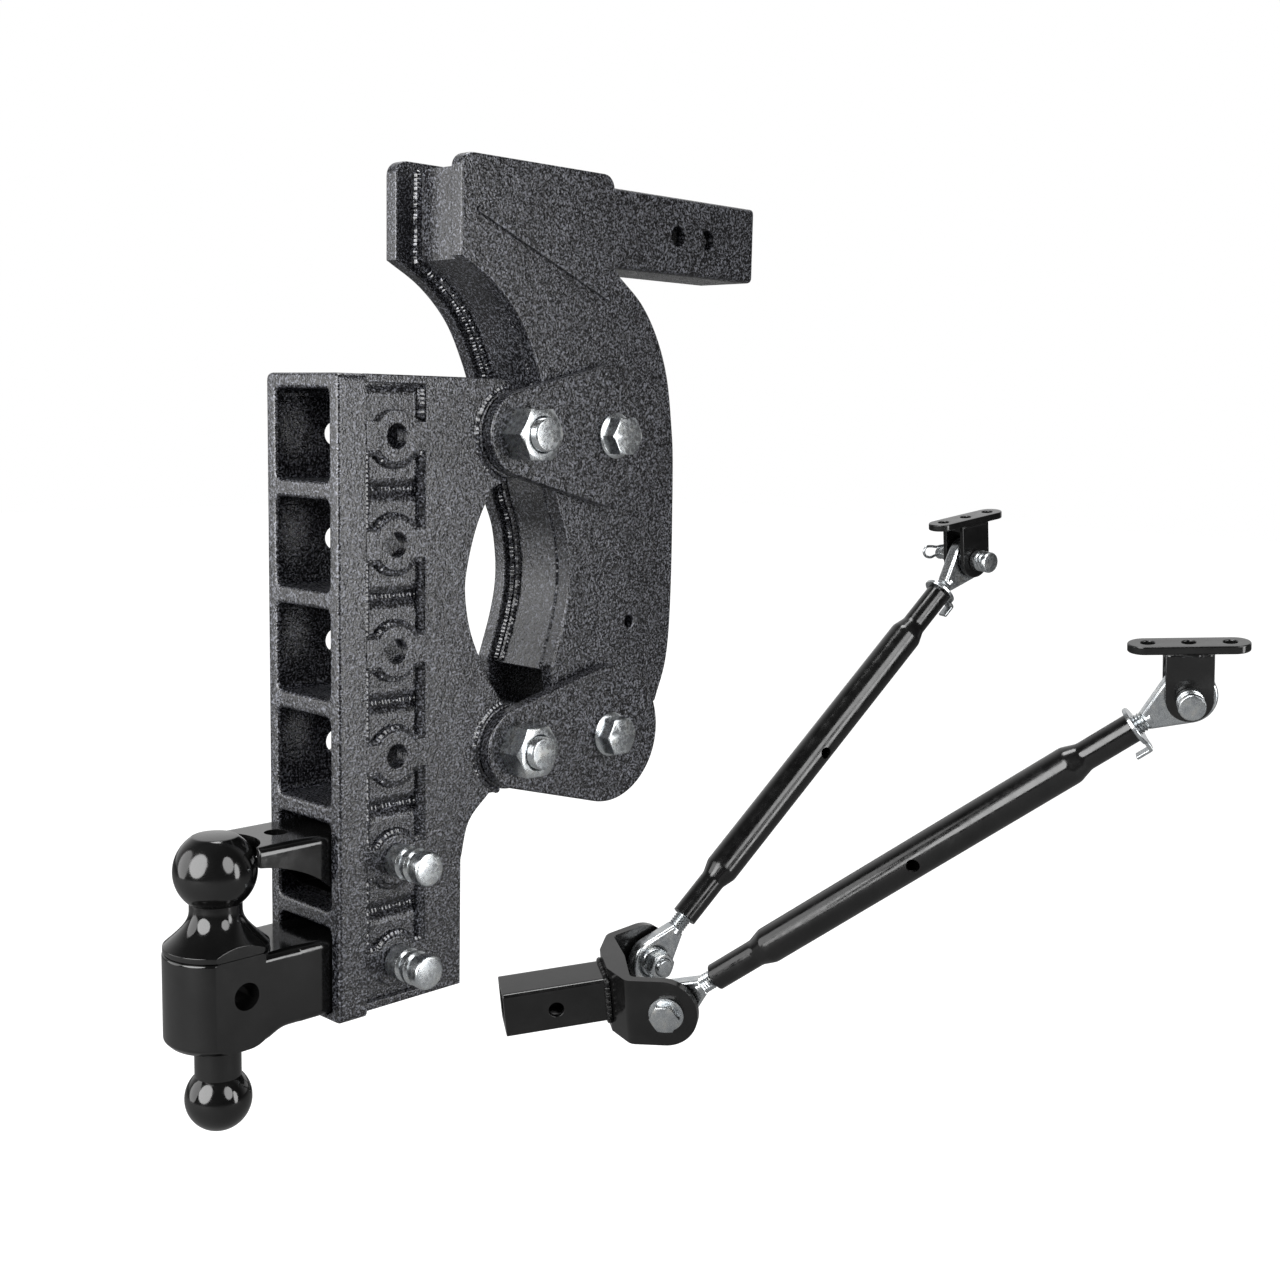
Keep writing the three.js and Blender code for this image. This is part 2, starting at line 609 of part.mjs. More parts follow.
function kitShank() {
  const half = KIT.shankWidth / 2;
  const outline = roundedRectangle(new THREE.Shape(), half, -half, half, 4);
  const bore = new THREE.Path();
  outline.holes.push(roundedRectangle(bore, half - KIT.wall, -half + KIT.wall, half - KIT.wall, 1.5));
  const hole = boreY(8.4, -half - 1, half + 1).translate(KIT.shankLength * 0.49, 0, -1);
  return cut(barYZ(outline, 0, KIT.shankLength), hole);
}

// Where an arm's frame sits in the kit's plan: its eye, its heading and its outward side
function armPlan(side) {
  const splay = THREE.MathUtils.degToRad(KIT.splay);
  return {
    eye: new THREE.Vector2(KIT.eyeX, side * KIT.eyeY),
    heading: new THREE.Vector2(Math.cos(splay), side * Math.sin(splay)),
    outward: new THREE.Vector2(-Math.sin(splay), side * Math.cos(splay)),
  };
}

// One flat bar bent into two ears and a shallow vee, welded to the end of the kit's shank
function yoke() {
  const start = KIT.shankLength + GAP;
  const along = ({ eye, heading, outward }, reach, out) => eye.clone()
    .addScaledVector(heading, reach).addScaledVector(outward, out);
  const plan = new THREE.Shape();
  const outer = YOKE.earInside + YOKE.thick;
  const [near, far] = [armPlan(-1), armPlan(1)];
  const back = -50;
  const outline = [
    along(far, YOKE.earReach, outer), along(far, back + 8, outer), along(far, back, outer - 8),
    new THREE.Vector2(start, KIT.shankWidth / 2 - 2), new THREE.Vector2(start, -KIT.shankWidth / 2 + 2),
    along(near, back, outer - 8), along(near, back + 8, outer), along(near, YOKE.earReach, outer),
    along(near, YOKE.earReach, YOKE.earInside), along(near, back + 11, YOKE.earInside),
    new THREE.Vector2(start + 24, 0),
    along(far, back + 11, YOKE.earInside), along(far, YOKE.earReach, YOKE.earInside),
  ];
  plan.setFromPoints(outline);
  const half = YOKE.height / 2;
  const bent = extruded(plan, YOKE.height, 1).translate(0, 0, -half);
  const tools = SIDES.flatMap(([, side]) => {
    const splay = THREE.MathUtils.degToRad(side * KIT.splay);
    const place = (geometry) => geometry.rotateZ(splay).translate(KIT.eyeX, side * KIT.eyeY, 0);
    const [y0, y1] = side > 0 ? [0, 60] : [-60, 0];
    const rounding = new THREE.Shape();
    rounding.moveTo(-4, half + 2);
    rounding.lineTo(YOKE.earReach + 4, half + 2);
    rounding.lineTo(YOKE.earReach + 4, -half - 2);
    rounding.lineTo(-4, -half - 2);
    rounding.lineTo(-4, -half);
    rounding.absarc(YOKE.earReach - half, 0, half, -Math.PI / 2, Math.PI / 2, false);
    rounding.lineTo(-4, half);
    rounding.closePath();
    return [place(slabXZ(rounding, y0, y1, 6)), place(boreY(EYE.bore, y0, y1))];
  });
  return cut(bent, ...tools);
}

function yokeBolt() {
  const face = YOKE.earInside + YOKE.thick + GAP;
  return join(
    rodY(PIVOT_BOLT.radius, -30, face + 2),
    rodY(19, face, face + 2.5, ROUND),
    hexY(PIVOT_BOLT.acrossFlats, face + 2, face + 14));
}

function yokeNut() {
  return cut(hexY(PIVOT_BOLT.acrossFlats, -26, -EYE.half - 3), boreY(PIVOT_BOLT.radius + GAP, -30, 0));
}

// Eye end: ring, tapered neck and the threaded rod inside the turnbuckle. It points along +X.
function eyeEnd(rodLength) {
  const outline = new THREE.Shape();
  const { ring, bore, half, neckHalf, neckAt, rod } = EYE;
  const lean = Math.acos((ring - neckHalf) / neckAt);
  outline.absarc(0, 0, ring, lean, 2 * Math.PI - lean, false);
  outline.lineTo(neckAt, -neckHalf);
  outline.lineTo(neckAt, neckHalf);
  outline.closePath();
  outline.holes.push(circlePath(0, 0, bore));
  const shaft = turnedX([[0, neckAt - 8], [rod - 2, neckAt - 8], [rod, neckAt - 4], [rod, rodLength - 2],
    [rod - 2, rodLength], [0, rodLength]], SMALL_ROUND);
  return join(slabXZ(outline, -half, half, 7), shaft);
}

function turnbuckle() {
  const { low, high, endRadius, radius, endBore, bore, shoulder, taper, turningHole } = TURNBUCKLE;
  const body = turnedX([
    [endRadius, low], [endRadius, low + shoulder], [radius, low + shoulder + taper],
    [radius, high - shoulder - taper], [endRadius, high - shoulder], [endRadius, high],
    [endBore, high], [endBore, high - shoulder - 6], [bore, high - shoulder - taper - 6],
    [bore, low + shoulder + taper + 6], [endBore, low + shoulder + 6], [endBore, low], [endRadius, low],
  ], 16);
  return cut(body, rodY(turningHole, -25, 25, 8).translate((low + high) / 2, 0, 0));
}

// Jam collar with one tab bent back over the turnbuckle
function lockCollar() {
  const at = TURNBUCKLE.high + GAP;
  const disc = turnedX([[0, at], [20, at], [20, at + 4], [0, at + 4]], ROUND);
  const lug = new THREE.BoxGeometry(4, 12, 12).translate(at + 2, 0, -23);
  const tab = new THREE.BoxGeometry(18, 12, 3.5).translate(at - 5, 0, -27.2);
  const clear = EYE.rod + 0.5;
  const bore = turnedX([[0, at - 20], [clear, at - 20], [clear, at + 20], [0, at + 20]], SMALL_ROUND);
  return cut(join(disc, lug, tab), bore);
}

// Slotted plate above a U of two ears: bolts under the trailer's frame, the pin goes through the ears
function frameBracket() {
  const { length, width, plate, earWidth, earInside, earThick, rise, holePitch, holeRadius } = BRACKET;
  const top = new THREE.Shape();
  const round = width / 2;
  top.absarc(length / 2 - round, 0, round, -Math.PI / 2, Math.PI / 2, false);
  top.absarc(-length / 2 + round, 0, round, Math.PI / 2, 1.5 * Math.PI, false);
  top.closePath();
  [-1, 0, 1].forEach((k) => top.holes.push(circlePath(k * holePitch, 0, holeRadius)));
  const slab = extruded(top, plate, 5).translate(0, 0, rise - plate);
  const ear = new THREE.Shape();
  ear.moveTo(-earWidth / 2, rise - plate + 1);
  ear.absarc(0, 0, earWidth / 2, Math.PI, 2 * Math.PI, false);
  ear.lineTo(earWidth / 2, rise - plate + 1);
  ear.closePath();
  const ears = slabXZ(ear, -earInside - earThick, earInside + earThick, 6);
  const roof = rise - plate - earThick;
  const space = new THREE.BoxGeometry(earWidth + 10, 2 * earInside, roof + 40).translate(0, 0, (roof - 40) / 2);
  const pinHole = boreY(PIN.radius + GAP, -60, 60);
  const bolt = rodY(holeRadius, rise - 30, rise + 10).rotateX(Math.PI / 2);
  return cut(join(slab, ears), space, pinHole, bolt);
}

// An arm in its own frame: X from the yoke's eye to the bracket's eye, Y along the pins
function armPieces(name, side) {
  const frame = new THREE.Group();
  frame.position.set(KIT.eyeX, side * KIT.eyeY, 0);
  frame.rotation.z = THREE.MathUtils.degToRad(side * KIT.splay);
  const outward = (geometry) => (side > 0 ? geometry : geometry.rotateZ(Math.PI));
  frame.add(piece(`yoke_bolt_${name}`, outward(yokeBolt()), 'zinc'));
  frame.add(piece(`yoke_nut_${name}`, outward(yokeNut()), 'zinc'));
  const arm = new THREE.Group();
  arm.rotation.y = -THREE.MathUtils.degToRad(ARM_RISE[name]);
  arm.add(piece(`lower_eye_${name}`, eyeEnd(200), 'zinc'));
  arm.add(piece(`turnbuckle_${name}`, turnbuckle(), 'gloss'));
  arm.add(piece(`upper_eye_${name}`, eyeEnd(200).rotateY(Math.PI).translate(KIT.armLength, 0, 0), 'zinc'));
  arm.add(piece(`jam_collar_${name}`, lockCollar(), 'zinc'));
  frame.add(arm);
  const rise = THREE.MathUtils.degToRad(ARM_RISE[name]);
  const head = new THREE.Group();
  head.position.set(KIT.armLength * Math.cos(rise), 0, KIT.armLength * Math.sin(rise));
  const ears = BRACKET.earInside + BRACKET.earThick;
  // The near clip stands up, and the far one lies level with its loop towards -X
  const turned = (geometry) => (side > 0 ? geometry.rotateY(-Math.PI / 2) : geometry);
  head.add(piece(`frame_bracket_${name}`, frameBracket(), 'gloss'));
  head.add(piece(`bracket_pin_${name}`, turned(hitchPin(-ears - 0.5, 24, ears + 32, ears + 23)), 'zinc'));
  head.add(piece(`bracket_pin_clip_${name}`, turned(clip(ears + 23)), 'zinc'));
  frame.add(head);
  return frame;
}

function kit() {
  const group = new THREE.Group();
  group.position.set(...KIT.place);
  const [roll, pitch, yaw] = [KIT.roll, KIT.pitch, KIT.yaw].map(THREE.MathUtils.degToRad);
  group.rotation.set(roll, pitch, yaw, 'ZYX');
  group.add(piece('kit_shank', kitShank(), 'gloss'), piece('kit_yoke', yoke(), 'gloss'));
  SIDES.forEach(([name, side]) => group.add(armPieces(name, side)));
  return group;
}

// ---------------------------------------------------------------- the whole part

const hitch = new THREE.Group();
hitch.position.set(-(SHANK_HOLES.first + SHANK_HOLES.second) / 2, 0, -SHANK.top);
hitch.add(...headPieces());
Object.entries(LEVELS).forEach(([name, level]) => hitch.add(...linkPieces(name, level)));
hitch.add(...columnPieces(), ...ballMountPieces(), kit());

const part = new THREE.Group();
part.add(hitch);

export default part;
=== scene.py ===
"""Looks of a weight distribution hitch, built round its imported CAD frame.

Shapes are drawn in millimetres in a local frame and placed by a matrix, so the numbers below read
like a drawing. Every place comes from the frame: the hitch's own corner from its column, and each
stabilizer arm's axes from its joints.
"""
import json
import math

import bmesh
import bpy
from mathutils import Matrix, Vector, geometry, noise

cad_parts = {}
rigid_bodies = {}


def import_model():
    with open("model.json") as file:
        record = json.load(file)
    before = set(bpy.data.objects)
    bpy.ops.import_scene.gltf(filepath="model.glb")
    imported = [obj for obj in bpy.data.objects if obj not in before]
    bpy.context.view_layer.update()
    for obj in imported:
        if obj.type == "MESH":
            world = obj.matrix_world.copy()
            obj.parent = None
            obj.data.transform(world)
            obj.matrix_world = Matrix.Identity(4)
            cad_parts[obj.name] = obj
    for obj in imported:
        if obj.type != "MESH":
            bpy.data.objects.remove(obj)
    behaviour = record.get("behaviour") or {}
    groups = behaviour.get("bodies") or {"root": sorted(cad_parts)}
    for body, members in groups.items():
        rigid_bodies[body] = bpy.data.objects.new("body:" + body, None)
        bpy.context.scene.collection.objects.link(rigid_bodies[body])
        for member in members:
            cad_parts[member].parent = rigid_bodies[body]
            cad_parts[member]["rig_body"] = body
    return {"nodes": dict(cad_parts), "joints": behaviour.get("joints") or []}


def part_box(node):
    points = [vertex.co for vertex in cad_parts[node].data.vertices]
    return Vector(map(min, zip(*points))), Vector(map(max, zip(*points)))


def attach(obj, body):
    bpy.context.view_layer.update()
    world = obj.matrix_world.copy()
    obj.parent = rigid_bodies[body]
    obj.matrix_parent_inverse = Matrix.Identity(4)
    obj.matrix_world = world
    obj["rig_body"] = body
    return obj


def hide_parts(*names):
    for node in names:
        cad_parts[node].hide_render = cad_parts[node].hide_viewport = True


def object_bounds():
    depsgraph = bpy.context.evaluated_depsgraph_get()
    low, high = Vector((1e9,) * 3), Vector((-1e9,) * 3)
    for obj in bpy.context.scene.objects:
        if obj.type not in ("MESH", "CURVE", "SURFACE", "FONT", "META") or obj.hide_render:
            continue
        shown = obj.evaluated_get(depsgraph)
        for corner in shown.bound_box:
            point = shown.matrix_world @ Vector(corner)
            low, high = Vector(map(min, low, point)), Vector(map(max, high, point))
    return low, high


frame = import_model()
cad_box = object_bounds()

MM = 0.001
JOINTS = {joint["name"]: joint for joint in frame["joints"]}


# ------------------------------------------------------------------ camera, lights and floor

CAMERA_PLACE = Vector((-1.0545, -0.988, -0.178))
CAMERA_HEADING = 46.29  # degrees from +Y towards +X
CAMERA_DROP = 7.89
CAMERA_ROLL = 1.23
CAMERA_LENS = 46.24
ROOM_GLOW = 0.05  # world strength behind the camera and overhead
BACKDROP_GLOW = 0.9  # world strength behind the object


def aim(obj, forward, roll=0.0):
    right = forward.cross(Vector((0, 0, 1))).normalized()
    up = right.cross(forward).normalized()
    turned = right * math.cos(roll) + up * math.sin(roll)
    upright = up * math.cos(roll) - right * math.sin(roll)
    obj.matrix_world = Matrix.Translation(obj.location) @ Matrix(
        (turned, upright, -forward)).transposed().to_4x4()


def add_camera():
    camera = bpy.data.objects.new("camera", bpy.data.cameras.new("camera"))
    bpy.context.scene.collection.objects.link(camera)
    camera.data.lens = CAMERA_LENS
    camera.data.sensor_width = 36
    camera.data.clip_end = 50
    camera.location = CAMERA_PLACE
    heading, drop = math.radians(CAMERA_HEADING), math.radians(CAMERA_DROP)
    forward = Vector((math.cos(drop) * math.sin(heading), math.cos(drop) * math.cos(heading),
                      -math.sin(drop)))
    aim(camera, forward, math.radians(CAMERA_ROLL))
    bpy.context.scene.camera = camera


def add_softbox(name, place, target, size, power):
    light = bpy.data.objects.new(name, bpy.data.lights.new(name, "AREA"))
    bpy.context.scene.collection.objects.link(light)
    light.data.shape = "ELLIPSE"
    light.data.size, light.data.size_y = size
    light.data.energy = power
    light.location = Vector(place)
    aim(light, (Vector(target) - light.location).normalized())


def light_world(facing):
    """White behind the object as seen, but dark behind the camera and overhead, as in a studio."""
    world = bpy.data.worlds.new("studio")
    bpy.context.scene.world = world
    world.use_nodes = True
    tree = world.node_tree
    nodes, links = tree.nodes, tree.links
    lit = nodes["Background"]
    place = nodes.new("ShaderNodeTexCoord")
    ahead = nodes.new("ShaderNodeVectorMath")
    ahead.operation = "DOT_PRODUCT"
    ahead.inputs[1].default_value = facing
    links.new(place.outputs["Generated"], ahead.inputs[0])
    glow = nodes.new("ShaderNodeMapRange")
    glow.interpolation_type = "SMOOTHSTEP"
    limits = {"From Min": 0.1, "From Max": 0.85, "To Min": ROOM_GLOW, "To Max": BACKDROP_GLOW}
    for name, value in limits.items():
        glow.inputs[name].default_value = value
    links.new(ahead.outputs["Value"], glow.inputs["Value"])
    links.new(glow.outputs["Result"], lit.inputs["Strength"])
    seen = nodes.new("ShaderNodeBackground")
    rays = nodes.new("ShaderNodeLightPath")
    choice = nodes.new("ShaderNodeMixShader")
    links.new(rays.outputs["Is Camera Ray"], choice.inputs["Fac"])
    links.new(lit.outputs["Background"], choice.inputs[1])
    links.new(seen.outputs["Background"], choice.inputs[2])
    links.new(choice.outputs["Shader"], nodes["World Output"].inputs["Surface"])
    for background in (lit, seen):
        background.inputs["Color"].default_value = (1, 1, 1, 1)


def add_studio():
    low, high = cad_box
    middle = (Vector(low) + Vector(high)) / 2
    add_softbox("left_softbox", (-2.45, -0.25, 0.4), middle, (2.0, 2.6), 125)
    add_softbox("right_softbox", (-0.15, -2.05, 0.45), middle, (1.2, 1.8), 36)
    add_softbox("side_softbox", (0.7, -2.1, -0.4), middle, (0.6, 1.7), 22)
    add_softbox("rim_softbox", (-2.1, 1.5, 0.0), middle, (1.8, 2.4), 34)
    add_softbox("top_softbox", (0.3, 0.4, 2.2), middle, (1.6, 1.2), 50)
    heading = math.radians(CAMERA_HEADING)
    light_world(Vector((math.sin(heading), math.cos(heading), 0.1)))
    bpy.context.scene.view_settings.view_transform = "Standard"
    floor_mesh = bpy.data.meshes.new("floor")
    reach = 12.0
    level = low[2] - 0.25
    floor_mesh.from_pydata(
        [(x, y, level) for x, y in ((-reach, -reach), (reach, -reach), (reach, reach), (-reach, reach))],
        [], [(0, 1, 2, 3)])
    floor = bpy.data.objects.new("floor", floor_mesh)
    bpy.context.scene.collection.objects.link(floor)
    pale = Look("pale_floor", 0.0, 0.9)  # seen as white, but sends little light back up
    pale.set("Base Color", (0.18, 0.18, 0.18, 1))
    pale.set("Emission Color", (1, 1, 1, 1))
    seen = pale.tree.nodes.new("ShaderNodeLightPath").outputs["Is Camera Ray"]
    pale.link(seen, "Emission Strength")
    floor_mesh.materials.append(pale.material)


# ------------------------------------------------------------------ materials

class Look:
    """A node material being put together round one Principled shader."""

    def __init__(self, name, metallic, roughness):
        self.material = bpy.data.materials.new(name)
        self.material.use_nodes = True
        self.tree = self.material.node_tree
        self.shader = self.tree.nodes["Principled BSDF"]
        self.shader.inputs["Metallic"].default_value = metallic
        self.shader.inputs["Roughness"].default_value = roughness
        self.place = self.tree.nodes.new("ShaderNodeTexCoord").outputs["Object"]

    def set(self, name, value):
        self.shader.inputs[name].default_value = value

    def link(self, output, name):
        self.tree.links.new(output, self.shader.inputs[name])

    def grain(self, per_metre, detail=2.0, rough=0.5, distortion=0.0):
        node = self.tree.nodes.new("ShaderNodeTexNoise")
        node.inputs["Scale"].default_value = per_metre
        node.inputs["Detail"].default_value = detail
        node.inputs["Roughness"].default_value = rough
        node.inputs["Distortion"].default_value = distortion
        self.tree.links.new(self.place, node.inputs["Vector"])
        return node.outputs["Fac"]

    def ramp(self, source, stops):
        node = self.tree.nodes.new("ShaderNodeValToRGB")
        elements = node.color_ramp.elements
        while len(elements) < len(stops):
            elements.new(0.5)
        for element, (at, colour) in zip(elements, stops):
            element.position = at
            element.color = (*colour, 1) if isinstance(colour, tuple) else (colour, colour, colour, 1)
        self.tree.links.new(source, node.inputs["Fac"])
        return node.outputs["Color"]

    def multiply(self, first, second):
        node = self.tree.nodes.new("ShaderNodeMix")
        node.data_type = "RGBA"
        node.blend_type = "MULTIPLY"
        node.inputs[0].default_value = 1.0
        self.tree.links.new(first, node.inputs[6])
        self.tree.links.new(second, node.inputs[7])
        return node.outputs[2]

    def bump(self, height, depth, strength=1.0, below=None):
        node = self.tree.nodes.new("ShaderNodeBump")
        node.inputs["Distance"].default_value = depth
        node.inputs["Strength"].default_value = strength
        self.tree.links.new(height, node.inputs["Height"])
        if below is not None:
            self.tree.links.new(below, node.inputs["Normal"])
        return node.outputs["Normal"]


def vein_paint(name, metallic, lumps, smoothest, roughest):
    """Silver vein powder coat: black ground with faint silver veins, glossy over a lumpy surface."""
    look = Look(name, metallic, 0.3)
    veins = look.grain(620, 1.0, 0.5, 0.4)
    colour = look.ramp(veins, [(0.40, (0.003, 0.003, 0.004)), (0.50, (0.010, 0.010, 0.012)),
                               (0.58, (0.055, 0.057, 0.066)), (0.68, (0.15, 0.155, 0.18))])
    cloud = look.ramp(look.grain(22, 3), [(0.3, 0.7), (0.7, 1.0)])
    look.link(look.multiply(colour, cloud), "Base Color")
    look.link(look.ramp(veins, [(0.40, smoothest), (0.62, roughest)]), "Roughness")
    coarse = look.bump(look.grain(170, 1.0), 0.0008, 0.35)
    look.link(look.bump(veins, lumps, 1.0, coarse), "Normal")
    look.set("Specular IOR Level", 0.9)
    return look.material


def hammered_paint():
    return vein_paint("hammered_paint", 0.4, 0.00036, 0.22, 0.36)


def weld_paint():
    """The same coat where it flowed smooth over the welds."""
    return vein_paint("weld_paint", 0.2, 0.00012, 0.13, 0.24)


def gloss_paint():
    """Gloss black paint with a faint orange peel and dust-dulled patches."""
    look = Look("gloss_paint", 0.0, 0.12)
    look.link(look.ramp(look.grain(35, 4), [(0.35, 0.0020), (0.7, 0.0045)]), "Base Color")
    look.link(look.ramp(look.grain(60, 5, 0.6), [(0.35, 0.07), (0.75, 0.18)]), "Roughness")
    look.link(look.bump(look.grain(240, 1.0), 0.00012, 0.2), "Normal")
    return look.material


def kit_paint():
    look = Look("kit_paint", 0.0, 0.2)
    colour = look.ramp(look.grain(28, 6, 0.65), [(0.35, 0.002), (0.62, 0.005), (0.8, 0.014)])
    look.link(colour, "Base Color")
    look.link(look.ramp(look.grain(90, 6, 0.7), [(0.35, 0.10), (0.75, 0.30)]), "Roughness")
    look.link(look.bump(look.grain(160, 3.0, 0.6), 0.0002, 0.25), "Normal")
    return look.material


def zinc_plate():
    """Bright zinc: pale blue-grey metal with soft cloudy patches and fine scratches."""
    look = Look("zinc_plate", 1.0, 0.28)
    tint = look.ramp(look.grain(120, 4), [(0.3, (0.40, 0.42, 0.44)), (0.55, (0.50, 0.52, 0.53)),
                                          (0.75, (0.58, 0.58, 0.56))])
    look.link(tint, "Base Color")
    look.link(look.ramp(look.grain(300, 5, 0.6), [(0.35, 0.20), (0.7, 0.34)]), "Roughness")
    look.link(look.bump(look.grain(700, 2.0), 0.00004, 0.4), "Normal")
    return look.material


def bare_steel():
    look = Look("bare_steel", 1.0, 0.4)
    look.link(look.ramp(look.grain(200, 4), [(0.3, 0.25), (0.7, 0.42)]), "Base Color")
    look.link(look.ramp(look.grain(500, 4), [(0.3, 0.3), (0.7, 0.5)]), "Roughness")
    return look.material


def rubber():
    look = Look("rubber", 0.0, 0.8)
    look.link(look.ramp(look.grain(150, 4), [(0.3, 0.010), (0.7, 0.022)]), "Base Color")
    look.link(look.bump(look.grain(800, 2), 0.0002, 0.4), "Normal")
    return look.material


# ------------------------------------------------------------------ outlines, in millimetres

def arc(x, y, radius, start, end, steps):
    """Points on an arc, with its angles in degrees."""
    turns = [math.radians(start + (end - start) * k / steps) for k in range(steps + 1)]
    return [Vector((x + radius * math.cos(a), y + radius * math.sin(a))) for a in turns]


def circle(x, y, radius, steps=48):
    return arc(x, y, radius, 0, 360 * (1 - 1 / steps), steps - 1)


def spline(points, steps):
    """A smooth curve through points of two or three coordinates."""
    knots = [Vector(p) for p in points]
    knots = [knots[0] * 2 - knots[1], *knots, knots[-1] * 2 - knots[-2]]
    line = []
    for a, b, c, d in zip(knots, knots[1:], knots[2:], knots[3:]):
        for k in range(steps):
            t = k / steps
            line.append((b * 2 + (c - a) * t + (a * 2 - b * 5 + c * 4 - d) * t * t
                         + (b * 3 - a - c * 3 + d) * t ** 3) / 2)
    line.append(knots[-2])
    return line


def rounded(points, radius, steps=5, closed=True):
    """Rounds each corner of a line of points; radius is one number or one for each corner."""
    count = len(points)
    radii = radius if isinstance(radius, (list, tuple)) else [radius] * count
    line = []
    for i, corner in enumerate(points):
        corner = Vector(corner)
        if radii[i] == 0 or (not closed and i in (0, count - 1)):
            line.append(corner)
            continue
        before = (Vector(points[i - 1]) - corner)
        after = (Vector(points[(i + 1) % count]) - corner)
        half = before.angle(after) / 2
        reach = min(radii[i] / math.tan(half), before.length * 0.49, after.length * 0.49)
        start, end = corner + before.normalized() * reach, corner + after.normalized() * reach
        for k in range(steps + 1):
            t = k / steps
            line.append(start * (1 - t) ** 2 + corner * 2 * t * (1 - t) + end * t * t)
    return line


def rectangle(x0, y0, x1, y1, radius):
    return rounded([(x0, y0), (x1, y0), (x1, y1), (x0, y1)], radius)


def shifted(line, distance):
    """An open line moved to its left."""
    moved = []
    for i, point in enumerate(line):
        along = (line[min(i + 1, len(line) - 1)] - line[max(i - 1, 0)]).normalized()
        moved.append(Vector((point.x - along.y * distance, point.y + along.x * distance)))
    return moved


def strip(line, thickness):
    return line + shifted(line, thickness)[::-1]


# ------------------------------------------------------------------ solids, as (points, faces)

PLANE_ORDER = {"XZ": (0, 2, 1), "YZ": (2, 0, 1), "XY": (0, 1, 2)}  # which drawn number goes to X, Y, Z
AXIS_ORDER = {"X": (2, 0, 1), "Y": (1, 2, 0), "Z": (0, 1, 2)}


def inset(loop, distance):
    """A closed loop moved to its left, with mitred corners."""
    moved = []
    for i, point in enumerate(loop):
        first = (point - loop[i - 1]).normalized()
        second = (loop[(i + 1) % len(loop)] - point).normalized()
        side = Vector((-first.y, first.x))
        mitre = side + Vector((-second.y, second.x))
        mitre = mitre.normalized() if mitre.length > 1e-6 else side
        moved.append(point + mitre * distance / max(mitre.dot(side), 0.4))
    return moved


def area(loop):
    return sum(a.x * b.y - b.x * a.y for a, b in zip(loop, loop[1:] + loop[:1])) / 2


def slab(outline, holes, low, high, bevel=1.0, plane="XZ", steps=3, low_bevel=None):
    """A flat outline with holes, given thickness and rounded edges; the low side may have its own."""
    loops = [list(outline) if area(outline) > 0 else list(outline)[::-1]]
    loops += [list(h)[::-1] if area(h) > 0 else list(h) for h in holes]
    turns = [math.pi / 2 * k / steps for k in range(steps + 1)]
    lower = bevel if low_bevel is None else low_bevel
    layers = [(bevel * (1 - math.sin(a)), high - bevel * (1 - math.cos(a))) for a in turns]
    layers += [(lower * (1 - math.sin(a)), low + lower * (1 - math.cos(a))) for a in reversed(turns)]
    points, faces, rows = [], [], []
    for gap, level in layers:
        row = []
        for loop in loops:
            row.append(range(len(points), len(points) + len(loop)))
            points += [(p.x, p.y, level) for p in inset(loop, gap)]
        rows.append(row)
    for above, below in zip(rows, rows[1:]):
        for top, bottom in zip(above, below):
            for i in range(len(top)):
                j = (i + 1) % len(top)
                faces.append((top[i], bottom[i], bottom[j], top[j]))
    for row in (rows[0], rows[-1]):
        flat = [i for loop in row for i in loop]
        cap = geometry.tessellate_polygon([[Vector((*points[i][:2], 0)) for i in loop] for loop in row])
        faces += [tuple(flat[i] for i in triangle) for triangle in cap]
    order = PLANE_ORDER[plane]
    return [tuple(p[i] for i in order) for p in points], faces


def turned(profile, axis="Y", steps=64):
    """A profile of (radius, height) points turned about an axis."""
    points, faces, rows = [], [], []
    for radius, height in profile:
        count = 1 if radius < 1e-6 else steps
        rows.append([len(points) + (k % count) for k in range(steps)])
        for k in range(count):
            angle = 2 * math.pi * k / steps
            points.append((radius * math.cos(angle), radius * math.sin(angle), height))
    for above, below in zip(rows, rows[1:]):
        for i in range(steps):
            j = (i + 1) % steps
            face = tuple(dict.fromkeys((above[i], below[i], below[j], above[j])))
            if len(face) > 2:
                faces.append(face)
    order = AXIS_ORDER[axis]
    return [tuple(p[i] for i in order) for p in points], faces


def ring(outer, inner, low, high, bevel):
    """A tube along Y with softened ends."""
    section = rounded([(inner, low), (outer, low), (outer, high), (inner, high)], bevel, 3)
    return turned([*section, section[0]])


def swept(line, radius, sides=12):
    """A round wire along a line of points; radius is a number or a function of the step."""
    line = [Vector(p) for p in line]
    points, faces, rows = [], [], []
    normal = None
    for i, point in enumerate(line):
        along = (line[min(i + 1, len(line) - 1)] - line[max(i - 1, 0)]).normalized()
        if normal is None:
            normal = along.orthogonal().normalized()
        normal = (normal - along * normal.dot(along)).normalized()
        across = along.cross(normal)
        size = radius(i) if callable(radius) else radius
        rows.append(range(len(points), len(points) + sides))
        for k in range(sides):
            angle = 2 * math.pi * k / sides
            points.append(tuple(point + (normal * math.cos(angle) + across * math.sin(angle)) * size))
    for above, below in zip(rows, rows[1:]):
        for i in range(sides):
            j = (i + 1) % sides
            faces.append((above[i], below[i], below[j], above[j]))
    faces += [tuple(rows[0]), tuple(reversed(rows[-1]))]
    return points, faces


BEAD_PITCH = 3.2  # distance between the ripples of a weld
BEAD_STEP = 0.8  # distance between the rings of points along it


